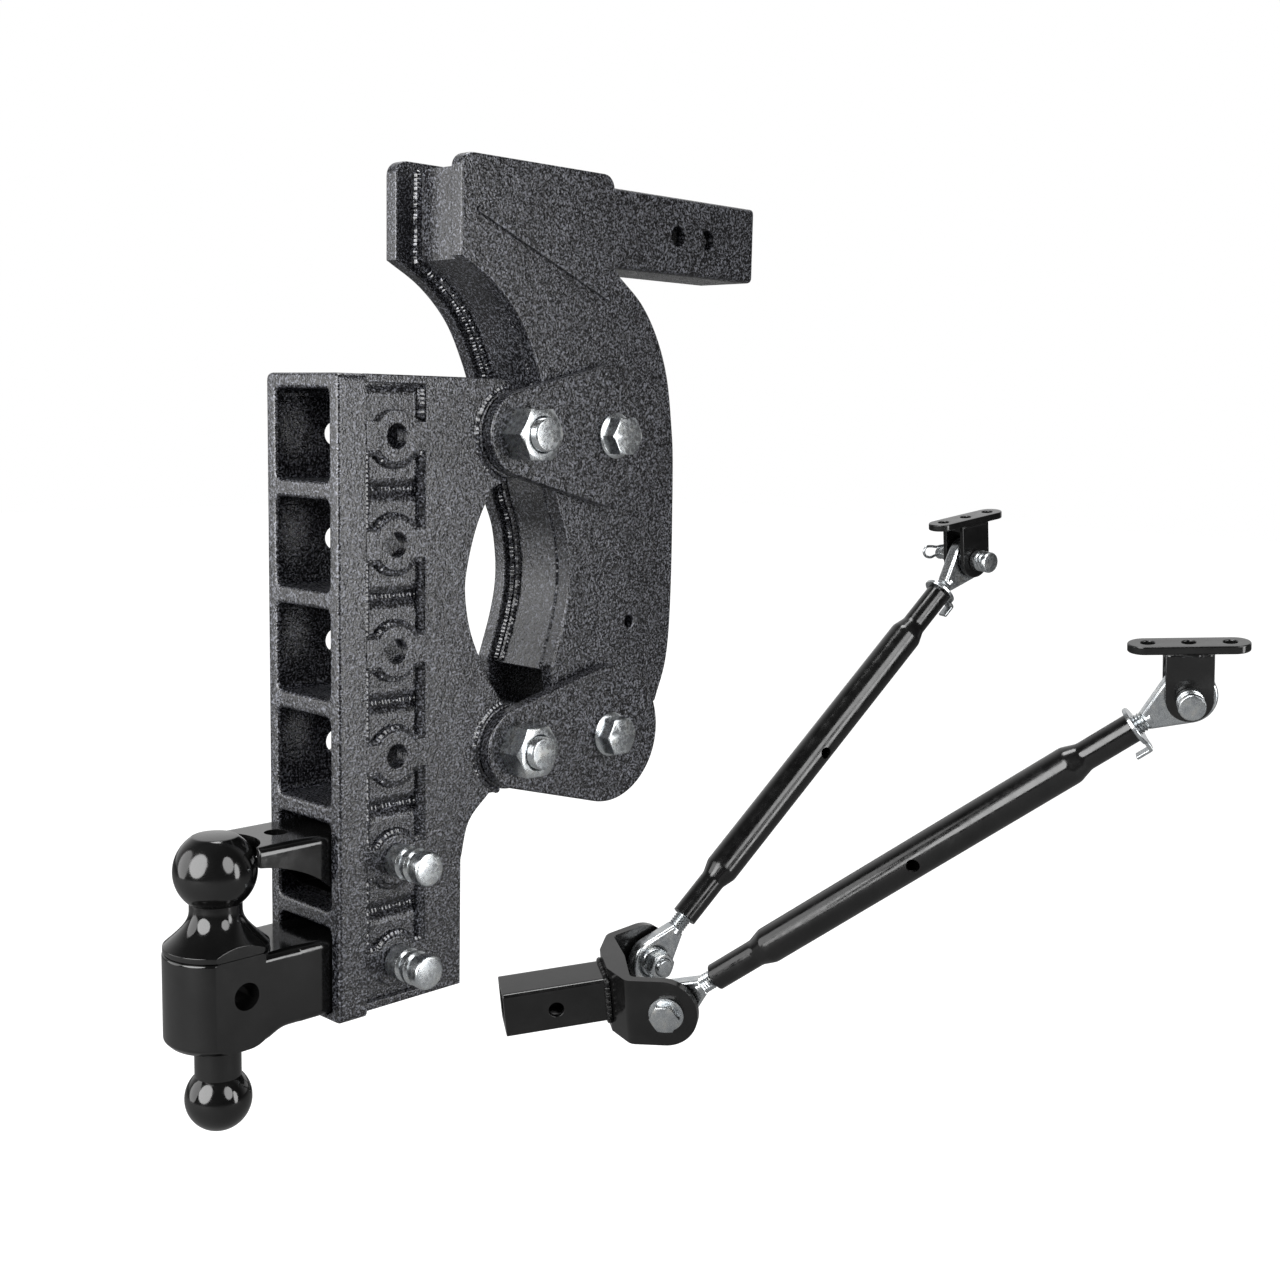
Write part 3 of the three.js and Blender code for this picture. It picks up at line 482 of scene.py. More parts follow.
def bead(line, radius, closed=False):
    """A weld: a rippled, slightly uneven wire half sunk into its corner."""
    line = [Vector(p) for p in line]
    if closed:
        line.append(line[0])
    even, carried = [line[0]], 0.0
    for a, b in zip(line, line[1:]):
        length = (b - a).length
        at = BEAD_STEP - carried
        while at <= length:
            even.append(a.lerp(b, at / length))
            at += BEAD_STEP
        carried = length - (at - BEAD_STEP)

    def size(i):
        ripple = ((i * BEAD_STEP) % BEAD_PITCH) / BEAD_PITCH
        wander = noise.noise(even[i] * 0.09)
        end = 1.0 if closed else min(1.0, 0.35 + min(i, len(even) - 1 - i) * 0.25)
        return radius * end * (0.86 + 0.26 * math.sqrt(1 - ripple) + 0.25 * wander)

    return swept(even, size, 8)


HEX_STEPS = 72  # columns of points round a hex head, twelve to a flat


def hexagon(across_flats, low, high, hole=0.0):
    """A hex head or nut along Y: its outer face is turned down at the corners, its hole countersunk."""
    flat = across_flats / 2
    crown = flat * 0.95
    way = math.copysign(1, high - low)
    points, faces = [], []
    for k in range(HEX_STEPS):
        angle = 360 * k / HEX_STEPS
        reach = flat / math.cos(math.radians((angle + 30) % 60 - 30))
        column = [(hole, low), (reach, low), (reach, high - way * (reach - crown) * 0.55), (crown, high)]
        column += [(hole + 1.3, high), (hole, high - way * 1.3)] if hole else [(0, high)]
        turn = math.radians(angle)
        points += [(r * math.sin(turn), level, r * math.cos(turn)) for r, level in column]
    count = len(column)
    for k in range(HEX_STEPS):
        here, there = k * count, (k + 1) % HEX_STEPS * count
        for i in range(count if hole else count - 1):
            j = (i + 1) % count
            faces.append((here + i, there + i, there + j, here + j))
    return points, faces


def threaded(radius, low, high, pitch=2.5, depth=0.9):
    """Half profile of a thread's crests and roots from one height to another, ends turned down."""
    chamfer = 1.5
    count = max(2, round(abs(high - low) / pitch))
    pitch = (high - low) / count
    profile = [(radius - chamfer, low)]
    for k in range(count):
        profile.append((radius - depth, low + pitch * (k + 0.15)))
        profile.append((radius, low + pitch * (k + 0.6)))
    return profile + [(radius - chamfer, high)]


def moved(solid, x=0.0, y=0.0, z=0.0):
    points, faces = solid
    return [(p[0] + x, p[1] + y, p[2] + z) for p in points], faces


def rotated(solid, degrees, axis):
    turn = Matrix.Rotation(math.radians(degrees), 3, axis)
    points, faces = solid
    return [tuple(turn @ Vector(p)) for p in points], faces


def together(*solids):
    points, faces = [], []
    for more_points, more_faces in solids:
        base = len(points)
        points += more_points
        faces += [tuple(i + base for i in face) for face in more_faces]
    return points, faces


def to_mesh(name, solid, scale=1.0):
    mesh = bpy.data.meshes.new(name)
    points, faces = solid
    mesh.from_pydata([Vector(p) * scale for p in points], [], faces)
    work = bmesh.new()
    work.from_mesh(mesh)
    bmesh.ops.remove_doubles(work, verts=work.verts, dist=1e-4 * scale)
    bmesh.ops.recalc_face_normals(work, faces=work.faces)
    work.to_mesh(mesh)
    work.free()
    return mesh


def carved(base, joined=(), cut=()):
    """base with solids joined on, then others cut away."""
    result = bpy.data.objects.new("work", to_mesh("work", base))
    bpy.context.scene.collection.objects.link(result)
    for operation, tools in (("UNION", joined), ("DIFFERENCE", cut)):
        for tool in tools:
            helper = bpy.data.objects.new("tool", to_mesh("tool", tool))
            bpy.context.scene.collection.objects.link(helper)
            step = result.modifiers.new("carve", "BOOLEAN")
            step.operation, step.object, step.solver = operation, helper, "EXACT"
            bpy.context.view_layer.update()
            shape = bpy.data.meshes.new_from_object(
                result.evaluated_get(bpy.context.evaluated_depsgraph_get()))
            result.modifiers.clear()
            result.data = shape
            bpy.data.objects.remove(helper)
    points = [tuple(v.co) for v in result.data.vertices]
    faces = [tuple(p.vertices) for p in result.data.polygons]
    bpy.data.objects.remove(result)
    return points, faces


# ------------------------------------------------------------------ putting pieces in place

MATERIALS = {}
SMOOTH_BELOW = math.radians(38)


def put(name, solid, place, look, node, stands_for=True, bevel=0.0):
    """Makes a piece from a solid in millimetres. It rides with a CAD node's body.

    It also replaces that node, unless stands_for is False, as for a weld."""
    mesh = to_mesh(name, solid, MM)
    mesh.transform(place)
    obj = bpy.data.objects.new(name, mesh)
    bpy.context.scene.collection.objects.link(obj)
    mesh.materials.append(MATERIALS[look])
    mesh.shade_smooth()
    if bevel:
        edge = obj.modifiers.new("edge", "BEVEL")
        edge.width = bevel * MM
        edge.segments = 2
        edge.limit_method = "ANGLE"
        edge.angle_limit = math.radians(40)
        edge.use_clamp_overlap = True
    else:
        mesh.set_sharp_from_angle(angle=SMOOTH_BELOW)
    facing = obj.modifiers.new("facing", "WEIGHTED_NORMAL")
    facing.keep_sharp = True
    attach(obj, frame["nodes"][node]["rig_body"])
    if stands_for:
        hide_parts(node)
    return obj


def hitch_place():
    """The hitch's own frame: X from the column's open face, Z from its top."""
    low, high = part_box("receiver_collar")
    return Matrix.Translation((low.x, 0, high.z))


def offset(place, x=0.0, y=0.0, z=0.0):
    """A place moved by millimetres along its own axes."""
    return place @ Matrix.Translation(Vector((x, y, z)) * MM)


def joint_axes(name):
    joint = JOINTS[name]
    return Vector(joint["pos_m"]), Vector(joint["axis"]).normalized()


def frame_at(origin, x, z):
    y = z.cross(x).normalized()
    return Matrix.Translation(origin) @ Matrix((x, y, x.cross(y).normalized())).transposed().to_4x4()


def kit_up():
    return joint_axes("arm_lift_near")[1].cross(joint_axes("arm_lift_far")[1]).normalized()


def yoke_place(name):
    """X along the yoke's ear, Y along its bolt, origin at the eye."""
    origin, axis = joint_axes(f"arm_lift_{name}")
    return frame_at(origin, (-axis).cross(kit_up()), kit_up())


def arm_place(name):
    origin, along = joint_axes(f"turnbuckle_turn_{name}")
    across = -joint_axes(f"arm_lift_{name}")[1]
    return frame_at(origin, along, along.cross(across))


def bracket_place(name):
    origin, axis = joint_axes(f"bracket_tilt_{name}")
    return frame_at(origin, (-axis).cross(kit_up()), kit_up())


ARM_LENGTH = (joint_axes("bracket_tilt_near")[0] - joint_axes("arm_lift_near")[0]).length / MM
EYE_X = 177.0


def kit_place():
    near, far = joint_axes("arm_lift_near"), joint_axes("arm_lift_far")
    across = -(near[1] + far[1]).normalized()
    along = across.cross(kit_up()).normalized()
    return frame_at((near[0] + far[0]) / 2 - along * EYE_X * MM, along, kit_up())


# ------------------------------------------------------------------ head, shank and links

HITCH = hitch_place()
SIDES = {"near": -1, "far": 1}
HEAD_INNER_EDGE = [
    (109, 88), (141, 70), (167, 45), (184, 14), (194, -14), (199, -42), (203, -72),
    (209, -97), (218, -121), (222, -156), (217, -188), (204, -227),
]
HEAD_OUTER_EDGE = [
    (274, 84), (300, 64), (319, 38), (332, 6), (339, -34), (342, -70), (343, -168), (339, -228),
    (326, -265),
]
HEAD_PIVOT_X = 259
BUSH_X = 161
WEB_HALF, WEB_THICK = 31.9, 9.5
PIVOT_RADIUS, PIVOT_HOLE, PIVOT_NUT_HOLE = 9.5, 9.8, 9.9
TORSION_RADIUS, TORSION_HOLE = 12.7, 13
BOLT_FACE = 57.3  # where bolt heads and nuts sit on the links
SMALL_HEX, LARGE_HEX = 28.6, 38.1  # across flats
LEVELS = {"upper": (-42, -41), "lower": (-284, -283)}  # heights of the head pivot and of the bush


def bore(radius, low, high, axis="Y", x=0.0, z=0.0):
    """A round cutter."""
    return moved(turned([(0, low), (radius, low), (radius, high), (0, high)], axis, 48), x, 0, z)


def facing_sides(inside, outside):
    """Each side's name, with the lower and upper Y of what lies between two distances out."""
    for name, side in SIDES.items():
        yield name, *((-outside, -inside) if side < 0 else (inside, outside))


def add_shank():
    half, top, wall = 31.75, 155.25, 9.5
    middle, low = top - half, top - 2 * half
    tube = slab(rectangle(-half, low, half, top, 5),
                [rectangle(-half + wall, low + wall, half - wall, top - wall, 2)], 150, 452, 1.2, "YZ")
    holes = [bore(8.4, -40, 40, x=x, z=middle) for x in (355, 392)]
    put("shank_tube_detail", carved(tube, cut=holes), HITCH, "hammered_paint", "shank_tube", bevel=0.7)
    welds = [bead([(264, y, top - 57), (264, y, top - 3)], 3.4) for y in (-half - 0.6, half + 0.6)]
    put("shank_weld", together(*welds), HITCH, "weld_paint", "shank_tube", stands_for=False)


def add_head():
    outline = spline(HEAD_INNER_EDGE, 6) + arc(262, -282, 50, 175, 369, 30)
    outline += spline(HEAD_OUTER_EDGE, 6)[::-1] + [Vector((268, 91))]
    outline += arc(255.5, 151, 11, 0, 90, 6) + arc(120, 151, 11, 90, 180, 6)
    holes = [circle(HEAD_PIVOT_X, pivot_z, PIVOT_HOLE) for pivot_z, _ in LEVELS.values()]
    holes.append(circle(292, -195, 5, 32))
    for name, low, high in facing_sides(32.1, 44.8):
        put(f"head_plate_{name}_detail", slab(outline, holes, low, high, 1.4), HITCH, "hammered_paint",
            f"head_plate_{name}")
    front = [Vector((129, 156)), Vector((129, 118)), Vector((129, 88))]
    inner = front + shifted(spline(HEAD_INNER_EDGE[1:], 6), 9)
    put("head_inner_web_detail", slab(strip(inner, WEB_THICK), [], -WEB_HALF, WEB_HALF, 0.5), HITCH,
        "hammered_paint", "head_inner_web")
    outer_edge = spline(HEAD_OUTER_EDGE, 6)[4:][::-1]
    outer = shifted(outer_edge, 16.5)
    put("head_outer_web_detail", slab(strip(outer, -WEB_THICK), [], -WEB_HALF, WEB_HALF, 0.5), HITCH,
        "hammered_paint", "head_outer_web")
    welds = []
    for side in (-1, 1):
        y = side * 30.2
        welds.append(bead([(p.x - 0.8, y, p.y) for p in inner], 3.6))
        welds.append(bead([(p.x + 0.6, y, p.y) for p in shifted(outer_edge, 7)], 3.2))
        welds.append(bead([(p.x - 0.5, y - side * 6, p.y) for p in inner[3:]], 2.6))
    put("head_web_welds", together(*welds), HITCH, "weld_paint", "head_inner_web", stands_for=False)
    start, end = Vector((124, 123)), Vector((262, 66))
    length = (end - start).length
    lean = math.degrees(math.atan2(end.y - start.y, end.x - start.x))
    bar = slab(rectangle(-length / 2, -3, length / 2, 3, 2.9), [], -47.5, -44.6, 0.9)
    middle = (start + end) / 2
    put("head_stiffening_bar_detail", moved(rotated(bar, -lean, "Y"), middle.x, 0, middle.y), HITCH,
        "hammered_paint", "head_stiffening_bar")


def teardrop(x1, z1, r1, x2, z2, r2):
    """Two circles joined by their outer tangents."""
    along = math.degrees(math.atan2(z2 - z1, x2 - x1))
    lean = math.degrees(math.acos((r1 - r2) / math.hypot(x2 - x1, z2 - z1)))
    first = arc(x1, z1, r1, along + lean, along + 360 - lean, 30)
    return first + arc(x2, z2, r2, along - lean, along + lean, 48)


def add_links(level):
    pivot_z, bush_z = LEVELS[level]
    outline = teardrop(BUSH_X, bush_z, 32, HEAD_PIVOT_X, pivot_z, 56.5)
    holes = [circle(BUSH_X, bush_z, TORSION_HOLE), circle(HEAD_PIVOT_X, pivot_z, PIVOT_HOLE)]
    for name, low, high in facing_sides(46.5, 57):
        put(f"{level}_link_{name}_detail", slab(outline, holes, low, high, 1.6), HITCH, "hammered_paint",
            f"{level}_link_{name}")
    at_bush = offset(HITCH, BUSH_X, 0, bush_z)
    at_head = offset(HITCH, HEAD_PIVOT_X, 0, pivot_z)
    face = BOLT_FACE
    radius = TORSION_RADIUS
    shaft = turned([(0, -face - 28), *threaded(radius, -face - 28, -face), (radius, -face + 1),
                    (radius, face + 1), (0, face + 1)])
    put(f"torsion_bolt_{level}_detail", together(shaft, hexagon(LARGE_HEX, face, face + 16)), at_bush,
        "zinc_plate", f"torsion_bolt_{level}")
    put(f"torsion_nut_{level}_detail", hexagon(LARGE_HEX, -face, -face - 22, TORSION_HOLE), at_bush,
        "zinc_plate", f"torsion_nut_{level}")
    flange = turned([(0, -face), (18, -face), (18, -face - 1.6), (14.6, -face - 3.6), (0, -face - 3.6)])
    radius = PIVOT_RADIUS
    thread = threaded(radius, face, face + 20, 2, 0.7)[1:]
    shaft = turned([(0, -face), (radius, -face), (radius, face), *thread, (0, face + 20)])
    put(f"pivot_bolt_{level}_detail",
        together(flange, shaft, hexagon(SMALL_HEX, -face - 3.2, -face - 15.5)), at_head, "zinc_plate",
        f"pivot_bolt_{level}")
    hole = PIVOT_NUT_HOLE
    collar = turned([(hole, face), (18, face), (18, face + 1.6), (14.6, face + 3.4), (hole, face + 3.4)])
    put(f"pivot_nut_{level}_detail", together(collar, hexagon(SMALL_HEX, face + 3, face + 16, hole)),
        at_head, "zinc_plate", f"pivot_nut_{level}")
    put(f"clamp_sleeve_{level}_detail", ring(18, TORSION_HOLE, -46.2, 46.2, 0.8), at_bush, "bare_steel",
        f"clamp_sleeve_{level}")
    put(f"pivot_sleeve_{level}_detail", ring(15, PIVOT_HOLE, -31.8, 31.8, 0.8), at_head, "bare_steel",
        f"pivot_sleeve_{level}")
    put(f"rubber_bush_{level}_detail", ring(25.7, 18.3, -40, 40, 2.5), at_bush, "rubber",
        f"rubber_bush_{level}")
    put(f"bush_housing_{level}_detail", ring(34, 26, -46, 46, 1.8), at_bush, "hammered_paint",
        f"bush_housing_{level}")
    start, end = (92, 262) if level == "upper" else (100, 256)
    line = arc(0, 0, 35.4, start, end, 60)
    rings = [bead([(p.x, side * 42.9, p.y) for p in line], 2.7) for side in (-1, 1)]
    put(f"bush_housing_{level}_weld", together(*rings), at_bush, "weld_paint", f"bush_housing_{level}",
        stands_for=False)


# ------------------------------------------------------------------ receiver column

PITCH = 77.7  # from one receiver opening to the next
PIN_LEVELS = [-43.5 - PITCH * k for k in range(6)]
PIN_X = 52
PIN_HOLE = 8.8
COLUMN_HALF = 43.9
COLUMN_DEPTH = 110
OPENING_HALF = 32.5
COLLAR_DEPTH = 24
WINDOW_RIGHT = 78
TOOTH = 10.5  # half width of the plate's straight teeth
BOSS = 19
BOSS_LEAN = math.degrees(math.asin(TOOTH / BOSS))  # where the teeth meet the bosses


def tube_openings():
    half = OPENING_HALF
    return [rectangle(-half, z - half, half, z + half, 6) for z in PIN_LEVELS]


def add_collar_and_stack():
    collar = slab(rectangle(-COLUMN_HALF, -469.5, COLUMN_HALF, 0, 6), tube_openings(), 0, COLLAR_DEPTH,
                  0.02, "YZ", 5, 2.8)
    put("receiver_collar_detail", collar, HITCH, "hammered_paint", "receiver_collar")
    half, corner = 38.6, 10
    right, left = [], []
    for k, z in enumerate(PIN_LEVELS):
        top = z + PITCH / 2
        bottom = z - PITCH / 2 if k < 5 else -468
        right += arc(half - corner, top - corner, corner, 90, 0, 6)
        right += arc(half - corner, bottom + corner, corner, 0, -90, 6)
        left += arc(-half + corner, top - corner, corner, 90, 180, 6)
        left += arc(-half + corner, bottom + corner, corner, 180, 270, 6)
    stack = slab(right + left[::-1], tube_openings(), COLLAR_DEPTH, COLUMN_DEPTH, 1.2, "YZ", 3, 0.02)
    holes = [bore(PIN_HOLE, -50, 50, x=PIN_X, z=z) for z in PIN_LEVELS]
    put("receiver_stack_detail", carved(stack, cut=holes), HITCH, "hammered_paint", "receiver_stack",
        bevel=0.6)


def plate_outline():
    """The column's side plate: round ends at the bushes, and a window between each two pin holes."""
    left = COLLAR_DEPTH + 0.3
    line = [Vector((left, 0)), Vector((150, 0))] + arc(BUSH_X, -41, 36.2, 95.4, 261, 26)
    line += spline([(141, -83), (127, -110), (118, -140), (116, -162), (122, -192), (138, -225),
                    (150, -243)], 5)
    line += arc(BUSH_X, -283, 36.2, 100.8, 255.6, 26) + [Vector((141, -318))]
    line += spline([(141, -318), (121, -337), (113, -366)], 5)[1:]
    line += [Vector((113, -464.5)), Vector((left, -464.5))]
    line += [Vector((left, -458.5)), Vector((WINDOW_RIGHT, -458.5))]
    lean = BOSS_LEAN
    for z in reversed(PIN_LEVELS):
        line.append(Vector((WINDOW_RIGHT, z - TOOTH)))
        line += arc(PIN_X, z, BOSS, -lean, -180 + lean, 14)
        line += [Vector((left, z - TOOTH)), Vector((left, z + TOOTH))]
        line += arc(PIN_X, z, BOSS, 180 - lean, lean, 14)
        line.append(Vector((WINDOW_RIGHT, z + TOOTH)))
    return line + [Vector((WINDOW_RIGHT, -6)), Vector((left, -6))]


def add_column_plates():
    holes = [circle(PIN_X, z, PIN_HOLE) for z in PIN_LEVELS]
    outline = plate_outline()
    lean = BOSS_LEAN
    left, weld_x = COLLAR_DEPTH + 1.5, WINDOW_RIGHT - 2
    for name, low, high in facing_sides(38.5, COLUMN_HALF):
        plate = slab(outline, holes, low, high, 0.9)
        put(f"column_plate_{name}_detail", plate, HITCH, "hammered_paint", f"column_plate_{name}")
        side = SIDES[name]
        y = side * 40.1
        welds = []
        for above, below in zip(PIN_LEVELS, PIN_LEVELS[1:]):
            path = [(left, above - TOOTH - 1)]
            path += [(p.x, p.y) for p in arc(PIN_X, above, BOSS + 1, 180 + lean, 360 - lean, 24)]
            path += [(weld_x, above - TOOTH - 1), (weld_x, below + TOOTH + 1)]
            path += [(p.x, p.y) for p in arc(PIN_X, below, BOSS + 1, lean, 180 - lean, 24)]
            path += [(left, below + TOOTH + 1)]
            welds.append(bead([(x, y, z) for x, z in path], 3.3, True))
            joint = above - PITCH / 2
            welds.append(bead([(left, side * 32.6, joint), (WINDOW_RIGHT, side * 32.6, joint)], 3.4))
        top, bottom = PIN_LEVELS[0] + TOOTH + 1, PIN_LEVELS[-1] - TOOTH - 1
        welds.append(bead([(weld_x, y, -7), (weld_x, y, top)], 3.3))
        welds.append(bead([(weld_x, y, bottom), (weld_x, y, -457)], 3.3))
        put(f"column_weld_{name}", together(*welds), HITCH, "weld_paint", f"column_plate_{name}",
            stands_for=False)
    back = COLUMN_DEPTH + 1
    joints = [level - PITCH / 2 for level in PIN_LEVELS[:-1]]
    cross = [bead([(back, -30, z), (back, 30, z)], 3.4) for z in joints]
    put("column_back_weld", together(*cross), HITCH, "weld_paint", "receiver_stack", stands_for=False)


# ------------------------------------------------------------------ ball mount, pins and clips

BALL_X = -74.3
BALL = offset(HITCH, BALL_X)
LOCK_LEVEL, MOUNT_LEVEL = PIN_LEVELS[4], PIN_LEVELS[5]
INSERT_HALF = 31.75
INSERT_HEIGHT = 57.4
INSERT_END = 100
INSERT_PIN_HOLE = 8.24
PIN_RADIUS = 7.94
CLIP_RADIUS = 1.75
COLUMN_CLIP_AT = 56  # where the clip goes through the pin


def side_flats():
    """Cutters that leave the round body and the ball's base flat on both sides."""
    outline = rectangle(-60, -500, 60, -300, 1)
    return [slab(outline, [], low, high, 0.01) for _, low, high in facing_sides(INSERT_HALF, 60)]


def add_balls():
    radius, centre, flat, neck, base, bottom = 29.37, -348, 16.5, 18.5, 37, -404.6
    start = math.degrees(math.acos(neck / radius))
    end = math.degrees(math.acos((flat + 1.5) / radius))
    sphere = [(p.x, p.y) for p in arc(0, centre, radius, -start, end, 40)]
    top = centre + math.sqrt(radius ** 2 - flat ** 2)
    flare = [(neck, -371.2), (neck + 0.4, -379), (neck + 3, -385), (neck + 8, -391), (base - 4, -397),
             (base, -400.5)]
    waist = [(p.x, p.y) for p in spline(flare, 6)]
    upper = turned([(0, bottom), (base - 0.6, bottom), (base, bottom + 1), *waist[::-1], *sphere,
                    (flat, top + 0.2), (flat - 1.5, top + 0.9), (0, top + 0.9)], "Z", 96)
    upper = carved(upper, cut=side_flats())
    put("upper_ball_detail", upper, BALL, "gloss_paint", "upper_ball", bevel=0.8)
    radius, centre, flat, neck, top = 23.8, -515, 9, 16.5, -472.3
    start = math.degrees(math.acos(flat / radius))
    end = math.degrees(math.acos(neck / radius))
    sphere = [(p.x, p.y) for p in arc(0, centre, radius, -start, end, 40)]
    low = centre - math.sqrt(radius ** 2 - flat ** 2)
    lower = turned([(0, low), *sphere, (neck, top - 6), (neck - 0.8, top - 5), (neck - 0.8, top - 3.6),
                    (neck, top - 2.6), (neck + 2, top), (0, top)], "Z", 96)
    put("lower_ball_detail", lower, BALL, "gloss_paint", "lower_ball")


def opening_floor(level):
    """Where something that lies in an opening has its underside."""
    return level - OPENING_HALF + 0.3


def add_ball_mount():
    bottom, top, radius, bevel = -472, -405, 37.5, 4.5
    corners = [(0, bottom), (radius - bevel, bottom), (radius, bottom + bevel), (radius, top), (0, top)]
    section = rounded(corners, [0, 3, 4, 2, 0], 5, closed=False)
    body = moved(carved(turned([(p.x, p.y) for p in section], "Z", 96), cut=side_flats()), BALL_X)
    floor = opening_floor(MOUNT_LEVEL)
    ceiling, underside = floor + INSERT_HEIGHT, bottom + 1
    bar = slab(rectangle(-INSERT_HALF, floor, INSERT_HALF, ceiling, 6), [], -26, INSERT_END, 1.5, "YZ")
    belly = [Vector((-34, floor)), Vector((-46, floor)), Vector((-47, underside)),
             Vector((-60, underside))]
    curve = []
    for k in range(17):
        t = k / 16
        curve.append(belly[0] * (1 - t) ** 3 + belly[1] * 3 * t * (1 - t) ** 2
                     + belly[2] * 3 * t * t * (1 - t) + belly[3] * t ** 3)
    arm = slab([Vector((-90, ceiling)), Vector((-90, underside)), *curve[::-1], Vector((-8, floor)),
                Vector((-8, ceiling))], [], -INSERT_HALF, INSERT_HALF, 6, "XZ", 5)
    holes = [bore(10, -50, 50, x=-70, z=MOUNT_LEVEL - 1),
             bore(INSERT_PIN_HOLE, -50, 50, x=PIN_X, z=MOUNT_LEVEL)]
    solid = carved(body, joined=[bar, arm], cut=holes)
    put("ball_mount_body_detail", solid, HITCH, "gloss_paint", "ball_mount_body", bevel=1.2)


def add_lock_insert():
    floor = opening_floor(LOCK_LEVEL)
    top = floor + INSERT_HEIGHT
    wall, tongue_end = 7, -58
    tube = slab(rectangle(-INSERT_HALF, floor, INSERT_HALF, top, 6),
                [rectangle(-INSERT_HALF + wall, floor + wall, INSERT_HALF - wall, top - wall, 2.5)],
                tongue_end, INSERT_END, 1.0, "YZ")
    below = floor - 2
    start, bend, end = Vector((tongue_end, top - 14)), Vector((-8, top - 20)), Vector((22, below))
    under = [Vector((-80, top - 14)), start]
    for k in range(1, 17):
        t = k / 16
        under.append(start * (1 - t) ** 2 + bend * 2 * t * (1 - t) + end * t * t)
    under.append(Vector((-80, below)))
    tools = [slab(under, [], -50, 50, 0.01), bore(32, top - 40, top + 2, "Z", x=-75.3),
             bore(8.5, top - 20, top + 2, "Z", x=-24),
             bore(INSERT_PIN_HOLE, -50, 50, x=PIN_X, z=LOCK_LEVEL)]
    put("lock_insert_detail", carved(tube, cut=tools), HITCH, "gloss_paint", "lock_insert", bevel=0.9)


def hitch_pin(knob_start, knob_length, shaft_end, clip_at):
    """Grooved knob on the -Y side, shaft towards +Y."""
    radius, knob, groove = PIN_RADIUS, 12.8, 10.6
    end = knob_start - knob_length
    section = [(0, end), (knob - 2.2, end), (knob - 0.8, end + 0.6), (knob, end + 2.2)]
    step = knob_length / 4
    for k in (1, 2):
        at = end + k * step
        section += [(knob, at - 0.6), (knob - 0.5, at), (groove, at + 1.2), (groove, at + step / 2 - 0.4),
                    (knob - 0.5, at + step / 2 + 0.8), (knob, at + step / 2 + 1.4)]
    section += [(knob, knob_start - 1), (knob - 1, knob_start), (radius, knob_start),
                (radius, clip_at - 3.4), (radius - 0.9, clip_at - 2.6), (radius - 0.9, clip_at + 2.6),
                (radius, clip_at + 3.4), (radius, shaft_end - 2.6), (radius - 2.2, shaft_end),
                (0, shaft_end)]
    return turned(section, "Y", 56)


def clip_wire(clip_at):
    """Spring clip: a straight leg through the pin, a loop above and a leg that hugs the pin."""
    hug = PIN_RADIUS + CLIP_RADIUS + 0.3
    route = [(0, -15), (0, 0), (0, 14), (-1, 22), (2, 30), (8, 33), (13.5, 29), (13, 21),
             (hug + 0.6, 12), (hug + 0.4, 5), (hug, 0), (hug + 1.2, -6), (hug + 5, -13)]
    return swept([(p.x, clip_at, p.y) for p in spline(route, 7)], CLIP_RADIUS, 14)


def add_pins():
    for name, level in (("lock", LOCK_LEVEL), ("mount", MOUNT_LEVEL)):
        place = offset(HITCH, PIN_X, 0, level)
        pin = hitch_pin(-COLUMN_HALF - 0.5, 38, COLUMN_CLIP_AT + 10, COLUMN_CLIP_AT)
        put(f"{name}_pin_detail", pin, place, "zinc_plate", f"{name}_pin")
        put(f"{name}_pin_clip_detail", clip_wire(COLUMN_CLIP_AT), place, "zinc_plate", f"{name}_pin_clip")


# ------------------------------------------------------------------ stabilizer kit

KIT_SHANK = 115.4
SPLAY = 23.1  # degrees each arm stands off the shank's line
EYE_SIDE = 55
EAR_INSIDE, YOKE_THICK, YOKE_HALF, EAR_REACH = 12.5, 9.5, 38, 34
YOKE_HOLE = 9.9
BARREL_LOW, BARREL_HIGH = 63, 574
LUG_INSIDE, LUG_OUTSIDE = 11.5, 17.5  # the two faces of a bracket's ears
BRACKET_CLIP_AT = 40.5
CLIP_TURN = {"near": 0, "far": -90}  # the far bracket's clip lies level


def add_kit_shank(place):
    half, wall = 25.4, 6.35
    tube = slab(rectangle(-half, -half, half, half, 5.5),
                [rectangle(-half + wall, -half + wall, half - wall, half - wall, 2)], 0, KIT_SHANK, 1.2,
                "YZ")
    hole = bore(8.4, -40, 40, x=KIT_SHANK * 0.49, z=-1)
    put("kit_shank_detail", carved(tube, cut=[hole]), place, "kit_paint", "kit_shank", bevel=0.7)
    edge = half + 0.6
    square = rectangle(-edge, -edge, edge, edge, 5.5)
    weld = bead([(KIT_SHANK - 1.2, p.x, p.y) for p in square], 3.4, True)
    put("kit_shank_weld", weld, place, "kit_paint", "kit_shank", stands_for=False)


